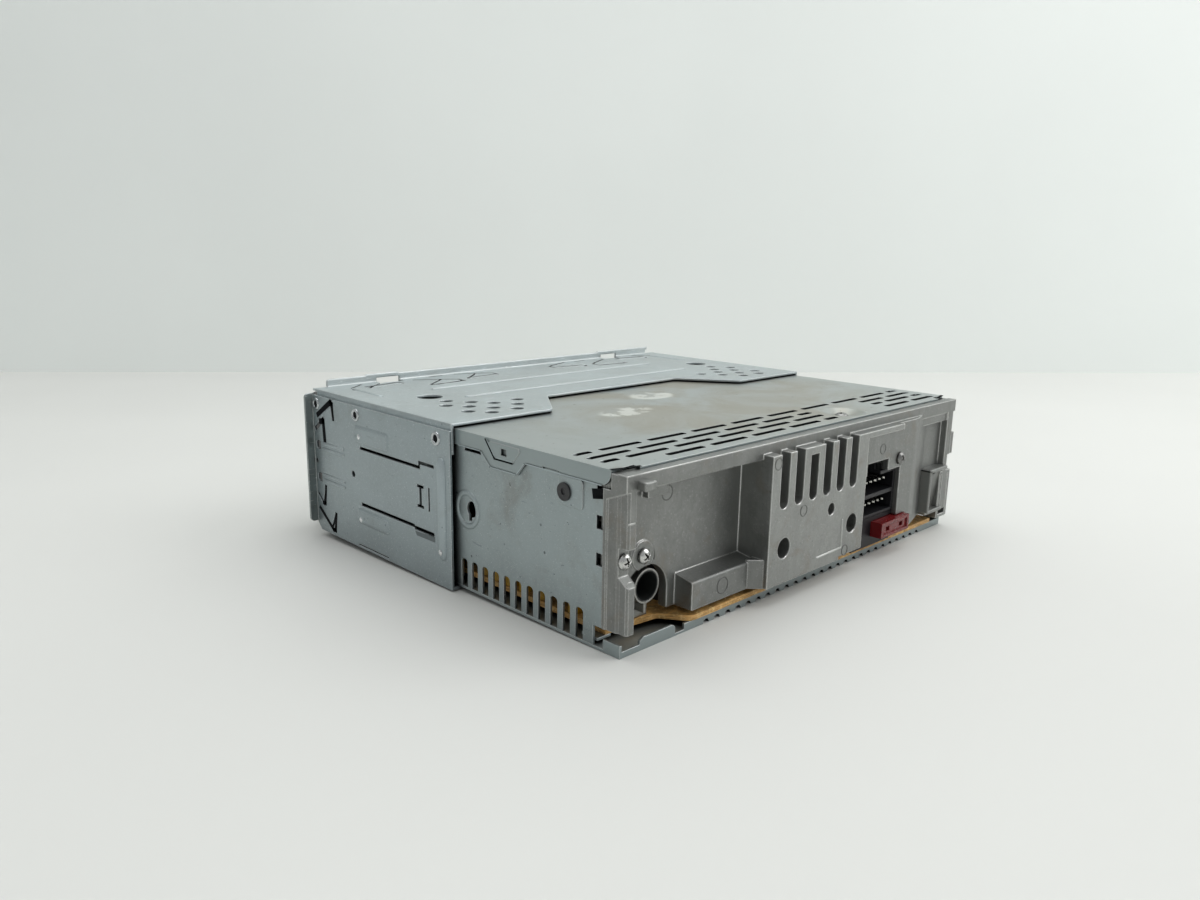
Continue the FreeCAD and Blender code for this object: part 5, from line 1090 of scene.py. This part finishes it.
# Relief of the casting in millimetres of the measuring datum: ejector marks with their radius, the
# screw seat's arc, ribs with their width and height, and the parts of the lug and the corner cup
EJECTOR_MARKS = (
    (16.0, 85.8, 27.2, 1.7), (30.5, 85.8, 43.9, 1.7), (-9.4, 85.8, 8.9, 1.7),
    (65.5, 74.5, 39.5, 2.1), (47.8, 81.0, 10.2, 2.4), (-32.5, 84.0, 38.8, 1.7),
)
SEAT_ARC = (73.9, 74.45, 22.9)
CASTING_RIBS = (
    ((-6.6, BLOCK_FACE - SUNK, 20.0), (-6.9, BLOCK_FACE - SUNK, 10.3), 0.7, 0.35),
    ((7.5, BLOCK_FACE - SUNK, 10.0), (-6.9, BLOCK_FACE - SUNK, 10.3), 0.8, 0.40),
    ((88.6, PILLAR_FACE - SUNK, 36.9), (85.9, PILLAR_FACE - SUNK, 36.8), 0.6, 0.3),
    ((88.4, PILLAR_FACE - SUNK, 21.4), (86.5, PILLAR_FACE - SUNK, 21.4), 0.6, 0.3),
)
RIM_LUG = (((81.2, 81.6, 45.2), (85.4, 85.0, 47.7)),)
CORNER_CUP = (
    ((-71.5, 79.3, 8.2), (-70.2, 83.8, 25.0)),
    ((-83.4, 79.3, 23.6), (-70.2, 83.8, 25.0)),
    ((-83.4, 79.3, 7.4), (-70.2, 83.0, 8.8)),
)
CUP_SLOPE = ((-71.4, 79.9, 19.5), (-82.9, 82.4, 24.0), (-82.9, 80.4, 8.6), (-71.4, 79.9, 8.6))
CAST_CORNER = 0.45 * MM


def cast_blocks(work, blocks):
    """Round-edged blocks of the casting, each between two corners."""
    for low, high in blocks:
        soft_block(work, place(*low), place(*high), CAST_CORNER)


class PLAYER_OT_casting(bpy.types.Operator):
    """Finish the finned casting and add its ejector marks, ribs, lug and corner cup"""

    bl_idname = "disc_player.casting"
    bl_label = "Finned casting"

    def execute(self, context):
        settings = context.scene.player_casting
        tint = rgb(settings.tint)
        rise = settings.mark_height
        alloy = cast_metal("cast_alloy_raw", tint, settings.edge_wear)
        paint_slot("cast_alloy", alloy)

        def ejector_marks(work):
            for x, y, z, radius in EJECTOR_MARKS:
                swept_ring(work, place(x, y - PROUD, z), -ACROSS, UP, radius * MM, 0.42 * MM, rise)

        def seat_arc(work):
            centre = place(*SEAT_ARC)
            swept_ring(work, centre, -ACROSS, UP, 3.9 * MM, 0.5 * MM, rise * 1.6, 24, (-20.0, 110.0))

        def block_ribs(work):
            for start, end, width, height in CASTING_RIBS:
                rounded_bar(work, place(*start), place(*end), BACK, width * MM, height * MM)

        def rim_lug(work):
            cast_blocks(work, RIM_LUG)

        def corner_cup(work):
            cast_blocks(work, CORNER_CUP)
            work.faces.new([work.verts.new(place(*point)) for point in CUP_SLOPE])

        # A darker copy of the alloy: painted shade on the ejector marks and the seat arc.
        dull = cast_metal("cast_alloy_painted_shade", shade(tint, 0.5), 0.15)
        mesh_piece("ejector_marks", ejector_marks, "chassis", dull)
        mesh_piece("seat_arc", seat_arc, "chassis", dull)
        # A lighter copy of the alloy for the ribs: rubbed, and lightened further as painted highlights.
        rubbed = cast_metal("cast_alloy_rubbed_and_highlit", shade(tint, 1.45), 0.9)
        mesh_piece("block_ribs", block_ribs, "chassis", rubbed)
        mesh_piece("rim_lug", rim_lug, "chassis", alloy, False)
        mesh_piece("corner_cup", corner_cup, "chassis", alloy, False)
        return {"FINISHED"}


# Cross-head screws: seat, direction across the head, direction up it, height, shank length and turn
BRIGHT_SCREWS = (
    ((86.5, 79.0, 26.1), -ACROSS, UP, 1.75, 5.0, 0.25),
    ((75.0, 75.1, 23.9), -ACROSS, UP, 1.75, 5.0, 0.62),
)
GREY_SCREWS = (
    ((-44.6, 84.0, 33.8), -ACROSS, UP, 1.6, 5.0, 0.5),
    ((-28.0, 70.0, 48.3), ACROSS, BACK, 1.45, 6.0, 0.3),
)
SHANK_RADIUS = 1.4 * MM


class PLAYER_OT_fasteners(bpy.types.Operator):
    """Cut the bright cross-head screws and finish them and the black ones"""

    bl_idname = "disc_player.fasteners"
    bl_label = "Screws"

    def execute(self, context):
        settings = context.scene.player_fittings
        nickel = bright_metal("nickel_screw", rgb(settings.screw_tint), 0.24, crevice_shade=0.95)
        grey = bright_metal("zinc_screw", shade(rgb(settings.screw_tint), 0.42), 0.34, crevice_shade=0.95)
        radius = settings.screw_radius

        def set_screws(work, screws):
            for seat, across, up, height, length, turn in screws:
                pan_screw(
                    work, place(*seat), across, up, radius, height * MM, SHANK_RADIUS, length * MM, turn
                )

        def bright_screws(work):
            set_screws(work, BRIGHT_SCREWS)

        def grey_screws(work):
            set_screws(work, GREY_SCREWS)

        screws = mesh_piece("cross_head_screws", bright_screws, "chassis", nickel)
        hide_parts("silver_screws")
        duller = mesh_piece("grey_cross_head_screws", grey_screws, "chassis", grey)
        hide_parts("silver_screws")
        paint_slot("bright_screw", nickel)
        paint_slot("black_screw", moulding("black_oxide", (0.02, 0.02, 0.022), 0.35, 0.4, 0.1))
        return {"FINISHED"}


class PLAYER_OT_rear_fittings(bpy.types.Operator):
    """Finish the aerial socket, plug housing, pins, fuse and board"""

    bl_idname = "disc_player.rear_fittings"
    bl_label = "Rear fittings"

    def execute(self, context):
        settings = context.scene.player_fittings
        paint_slot("tin", bright_metal("tinned_steel", (0.36, 0.36, 0.34), 0.33, (1.0, 6.0, 1.0), 0.9))
        paint_node("antenna_socket", moulding("aerial_dark", (0.012, 0.014, 0.013), 0.5, 0.6, 0.1))
        paint_slot("plug_black", moulding("plug_moulding", rgb(settings.plug_tint), 0.42, 0.5, 0.06, 0.35))
        paint_slot("pin_tin", bright_metal("tinned_pin", (0.66, 0.65, 0.60), 0.22))
        paint_slot("fuse_red", fuse_plastic("fuse_cap", rgb(settings.fuse_tint)))
        paint_slot("board_brown", phenolic_board("phenolic", rgb(settings.board_tint)))
        return {"FINISHED"}


class PLAYER_OT_electronics(bpy.types.Operator):
    """Finish the amplifier, capacitors, tuner and flat cable"""

    bl_idname = "disc_player.electronics"
    bl_label = "Electronics"

    def execute(self, context):
        paint_slot("chip_black", moulding("resin_black", (0.022, 0.022, 0.026), 0.4, 0.6, 0.2))
        amber = (0.52, 0.30, 0.03)
        paint_slot("cap_yellow", sleeved_cans("capacitor_sleeves", amber, (0.035, 0.035, 0.05)))
        paint_slot("flat_cable", moulding("cable_film", (0.62, 0.62, 0.58), 0.35, 0.3, 0.15))
        paint_slot("board_green", green_board("green_mask", (0.02, 0.11, 0.045)))
        paint_slot("encoder_metal", bright_metal("encoder_can", (0.55, 0.55, 0.53), 0.3))
        return {"FINISHED"}


class PLAYER_OT_mechanism(bpy.types.Operator):
    """Finish the disc mechanism"""

    bl_idname = "disc_player.mechanism"
    bl_label = "Disc mechanism"

    def execute(self, context):
        zinc = bright_metal("mechanism_zinc", (0.50, 0.51, 0.50), 0.38, (8.0, 1.0, 1.0), 0.3)
        can = bright_metal("motor_can_nickel", (0.60, 0.60, 0.58), 0.28, (1.0, 1.0, 6.0), 0.2)
        paint_slot("mech_steel", zinc)
        paint_slot("motor_can", can)
        paint_slot("ground_steel", bright_metal("ground_rod", (0.68, 0.68, 0.69), 0.12, (1.0, 12.0, 1.0)))
        paint_slot("damper_rubber", rubber("soft_rubber", (0.022, 0.022, 0.022)))
        paint_slot("mech_plastic", moulding("acetal_black", (0.035, 0.035, 0.038), 0.38, 0.5, 0.1))
        paint_slot("lens", moulding("lens_dark", (0.05, 0.07, 0.13), 0.12, 0.1, 0.0))
        return {"FINISHED"}


class PLAYER_OT_front(bpy.types.Operator):
    """Finish the carrier, the detachable face and its display"""

    bl_idname = "disc_player.front"
    bl_label = "Front"

    def execute(self, context):
        settings = context.scene.player_front
        carrier = shade(rgb(settings.face_tint), 1.1)
        paint_slot("front_plastic", moulding("carrier_moulding", carrier, 0.55, 1.2, 0.15))
        paint_slot("face_plastic", moulding("face_moulding", rgb(settings.face_tint), 0.30, 0.7, 0.10))
        paint_slot("window", clear_window("display_window_clear", rgb(settings.window_tint)))
        paint_slot("display", display_glass("display_cells", (0.020, 0.030, 0.026)))
        return {"FINISHED"}


# Strokes of the plain figures on the numbered keys, in millimetres from the key's middle
FIGURE_STROKE = 0.34 * MM
PRESET_FIGURES = {
    1: (
        ((-0.5, 0.8), (0.1, 1.3), (0.1, -1.3)),
    ),
    2: (
        ((-0.8, 0.8), (-0.4, 1.3), (0.4, 1.3), (0.8, 0.85), (0.8, 0.3)),
        ((0.8, 0.3), (-0.8, -1.3), (0.8, -1.3)),
    ),
    3: (
        ((-0.8, 1.3), (0.75, 1.3), (0.0, 0.3)),
        ((0.0, 0.3), (0.8, -0.3), (0.8, -0.9), (0.3, -1.3), (-0.8, -1.3)),
    ),
    4: (
        ((0.4, -1.3), (0.4, 1.3), (-0.9, -0.5), (0.9, -0.5)),
    ),
    5: (
        ((0.75, 1.3), (-0.7, 1.3), (-0.7, 0.25), (0.4, 0.25)),
        ((0.4, 0.25), (0.8, -0.2), (0.8, -0.85), (0.3, -1.3), (-0.8, -1.3)),
    ),
    6: (
        ((0.6, 1.3), (-0.2, 1.2), (-0.8, 0.4), (-0.8, -0.9), (-0.4, -1.3), (0.4, -1.3)),
        ((0.4, -1.3), (0.8, -0.9), (0.8, -0.2), (0.4, 0.2), (-0.8, 0.2)),
    ),
}


def key_figure(number, lines, ink):
    """Printed figure on the middle of one numbered key."""
    low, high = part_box(f"preset_button_{number}")
    middle = Vector(((low.x + high.x) / 2, low.y - PROUD * MM, (low.z + high.z) / 2))

    def figure(work):
        for line in lines:
            points = [(x * MM, z * MM) for x, z in line]
            print_stroke(work, middle, ACROSS, UP, points, FIGURE_STROKE)

    mesh_piece(f"preset_figure_{number}", figure, f"preset_{number}", ink, False)


class PLAYER_OT_controls(bpy.types.Operator):
    """Finish the keys and the knob, and print the plain figures of the numbered keys"""

    bl_idname = "disc_player.controls"
    bl_label = "Controls"

    def execute(self, context):
        settings = context.scene.player_front
        paint_slot("key_black", moulding("key_moulding", rgb(settings.key_tint), 0.42, 0.8, 0.08))
        paint_slot("knob_black", moulding("knob_soft_touch", rgb(settings.key_tint), 0.60, 1.2, 0.10))
        ink = moulding("key_ink", rgb(settings.print_tint), 0.55, 0.4, 0.15)
        for number, lines in PRESET_FIGURES.items():
            key_figure(number, lines, ink)
        return {"FINISHED"}


# Camera at the photograph's place, in the frame's metres: columns are right, up and back
CAMERA_PLACE = Vector((0.246487, 0.238568, 0.109489))
CAMERA_RIGHT = Vector((-0.71649, 0.69740, 0.01658))
CAMERA_UP = Vector((-0.14454, -0.17166, 0.97450))
CAMERA_BACK = Vector((0.68246, 0.69582, 0.22379))
SENSOR_WIDTH = 36.0

# Stage sizes in metres: half width and depth of the floor, height of the wall, and the lamps as
# seen from the middle of the player
STAGE_HALF_WIDTH = 3
STAGE_DEPTH = 3.0
WALL_HEIGHT = 2.4
PLAYER_MIDDLE = Vector((0.0, 0.0, 0.03))
UPPER_LAMP = Vector((-0.1, -0.2, 1.3))
UPPER_LAMP_SIZE = 1.3
SIDE_LAMP = Vector((-0.7, 0.8, 0.8))
SIDE_LAMP_SIZE = 0.9
SKY_COLOR = (0.97, 0.99, 1.0, 1.0)
PAINT_UNEVENNESS = 0.02


def floor_normal():
    """Upward normal of the floor that touches the sleeve's flange and the floor sheet's rear edge."""
    front = Vector((0.0, SLEEVE_LOW.y, SLEEVE_LOW.z))
    rear = Vector((0.0, FLOOR_HIGH.y, FLOOR_LOW.z))
    along = (rear - front).normalized()
    return ACROSS.cross(along).normalized()


def stage_sheet(name, corners, finish):
    """Large flat sheet of the stage."""
    mesh = bpy.data.meshes.new(name)
    mesh.from_pydata([tuple(corner) for corner in corners], [], [tuple(range(len(corners)))])
    sheet = bpy.data.objects.new(name, mesh)
    bpy.context.scene.collection.objects.link(sheet)
    mesh.materials.append(finish)
    return sheet


def matt_paint(name, tint):
    """Plain pale paint with a faint unevenness."""
    f = Finish(name)
    cloud = f.span(f.noise(3.0, 3.0, 0.5), 0.3, 0.7)
    color = f.mix(cloud, shade(tint, 1.0 - PAINT_UNEVENNESS), shade(tint, 1.0 + PAINT_UNEVENNESS))
    return f.finish(color, 0.62)


def soft_lamp(name, where, target, size, power):
    """Square area lamp turned to a target."""
    data = bpy.data.lights.new(name, "AREA")
    data.shape = "SQUARE"
    data.size = size
    data.energy = power
    lamp = bpy.data.objects.new(name, data)
    lamp.location = where
    lamp.rotation_euler = (target - where).to_track_quat("-Z", "Y").to_euler()
    bpy.context.scene.collection.objects.link(lamp)
    return lamp


class PLAYER_OT_stage(bpy.types.Operator):
    """Set the floor, wall, lamps and camera"""

    bl_idname = "disc_player.stage"
    bl_label = "Stage"

    def execute(self, context):
        settings = context.scene.player_stage
        up = floor_normal()
        heading = (-CAMERA_BACK + up * CAMERA_BACK.dot(up)).normalized()
        aside = heading.cross(up) * STAGE_HALF_WIDTH
        touch = Vector((0.0, SLEEVE_LOW.y, SLEEVE_LOW.z))
        foot = CAMERA_PLACE - up * (CAMERA_PLACE - touch).dot(up)
        corner = foot + heading * settings.wall_distance
        near = corner - heading * STAGE_DEPTH
        left = corner - aside
        right = corner + aside
        rise = up * WALL_HEIGHT
        floor_paint = matt_paint("floor_paint", rgb(settings.floor_tint))
        wall_paint = matt_paint("wall_paint", rgb(settings.wall_tint))
        stage_sheet("floor", (near - aside, near + aside, right, left), floor_paint)
        stage_sheet("wall", (left, right, right + rise, left + rise), wall_paint)
        for name, where, size, power in (
            ("upper_lamp", UPPER_LAMP, UPPER_LAMP_SIZE, settings.key_power),
            ("side_lamp", SIDE_LAMP, SIDE_LAMP_SIZE, settings.fill_power),
        ):
            soft_lamp(name, PLAYER_MIDDLE + where, PLAYER_MIDDLE, size, power)
        world = bpy.data.worlds.new("even_light")
        world.use_nodes = True
        background = world.node_tree.nodes["Background"]
        background.inputs["Color"].default_value = SKY_COLOR
        background.inputs["Strength"].default_value = settings.sky
        context.scene.world = world
        data = bpy.data.cameras.new("photo_camera")
        data.sensor_width = SENSOR_WIDTH
        data.sensor_fit = "HORIZONTAL"
        data.lens = settings.lens
        camera = bpy.data.objects.new("photo_camera", data)
        turn = Matrix((CAMERA_RIGHT, CAMERA_UP, CAMERA_BACK)).transposed()
        camera.matrix_world = Matrix.Translation(CAMERA_PLACE) @ turn.to_4x4()
        context.scene.collection.objects.link(camera)
        context.scene.camera = camera
        context.scene.view_settings.view_transform = "Standard"
        return {"FINISHED"}


STEPS = (
    PLAYER_OT_pressed_sheets, PLAYER_OT_casting, PLAYER_OT_fasteners, PLAYER_OT_rear_fittings,
    PLAYER_OT_electronics, PLAYER_OT_mechanism, PLAYER_OT_front, PLAYER_OT_controls, PLAYER_OT_stage,
)

SETTINGS = {
    "player_sheets": SheetSettings,
    "player_casting": CastingSettings,
    "player_fittings": FittingSettings,
    "player_front": FrontSettings,
    "player_stage": StageSettings,
}


class PLAYER_PT_sidebar(bpy.types.Panel):
    """Sidebar list of the player's settings and steps"""

    bl_idname = "PLAYER_PT_sidebar"
    bl_label = "Disc player"
    bl_space_type = "VIEW_3D"
    bl_region_type = "UI"
    bl_category = "Disc player"

    def draw(self, context):
        layout = self.layout
        for name, group in SETTINGS.items():
            box = layout.box()
            settings = getattr(context.scene, name)
            for key in group.__annotations__:
                box.prop(settings, key)
        for step in STEPS:
            layout.operator(step.bl_idname)


def register():
    """Register the settings, steps and panel."""
    for name, group in SETTINGS.items():
        bpy.utils.register_class(group)
        setattr(bpy.types.Scene, name, bpy.props.PointerProperty(type=group))
    for step in STEPS:
        bpy.utils.register_class(step)
    bpy.utils.register_class(PLAYER_PT_sidebar)


def unregister():
    """Take the panel, steps and settings away again."""
    bpy.utils.unregister_class(PLAYER_PT_sidebar)
    for step in reversed(STEPS):
        bpy.utils.unregister_class(step)
    for name, group in SETTINGS.items():
        delattr(bpy.types.Scene, name)
        bpy.utils.unregister_class(group)


def main():
    """Dress the whole player."""
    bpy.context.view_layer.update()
    register()
    for step in STEPS:
        group, name = step.bl_idname.split(".")
        getattr(getattr(bpy.ops, group), name)()


if __name__ == "__main__":
    main()
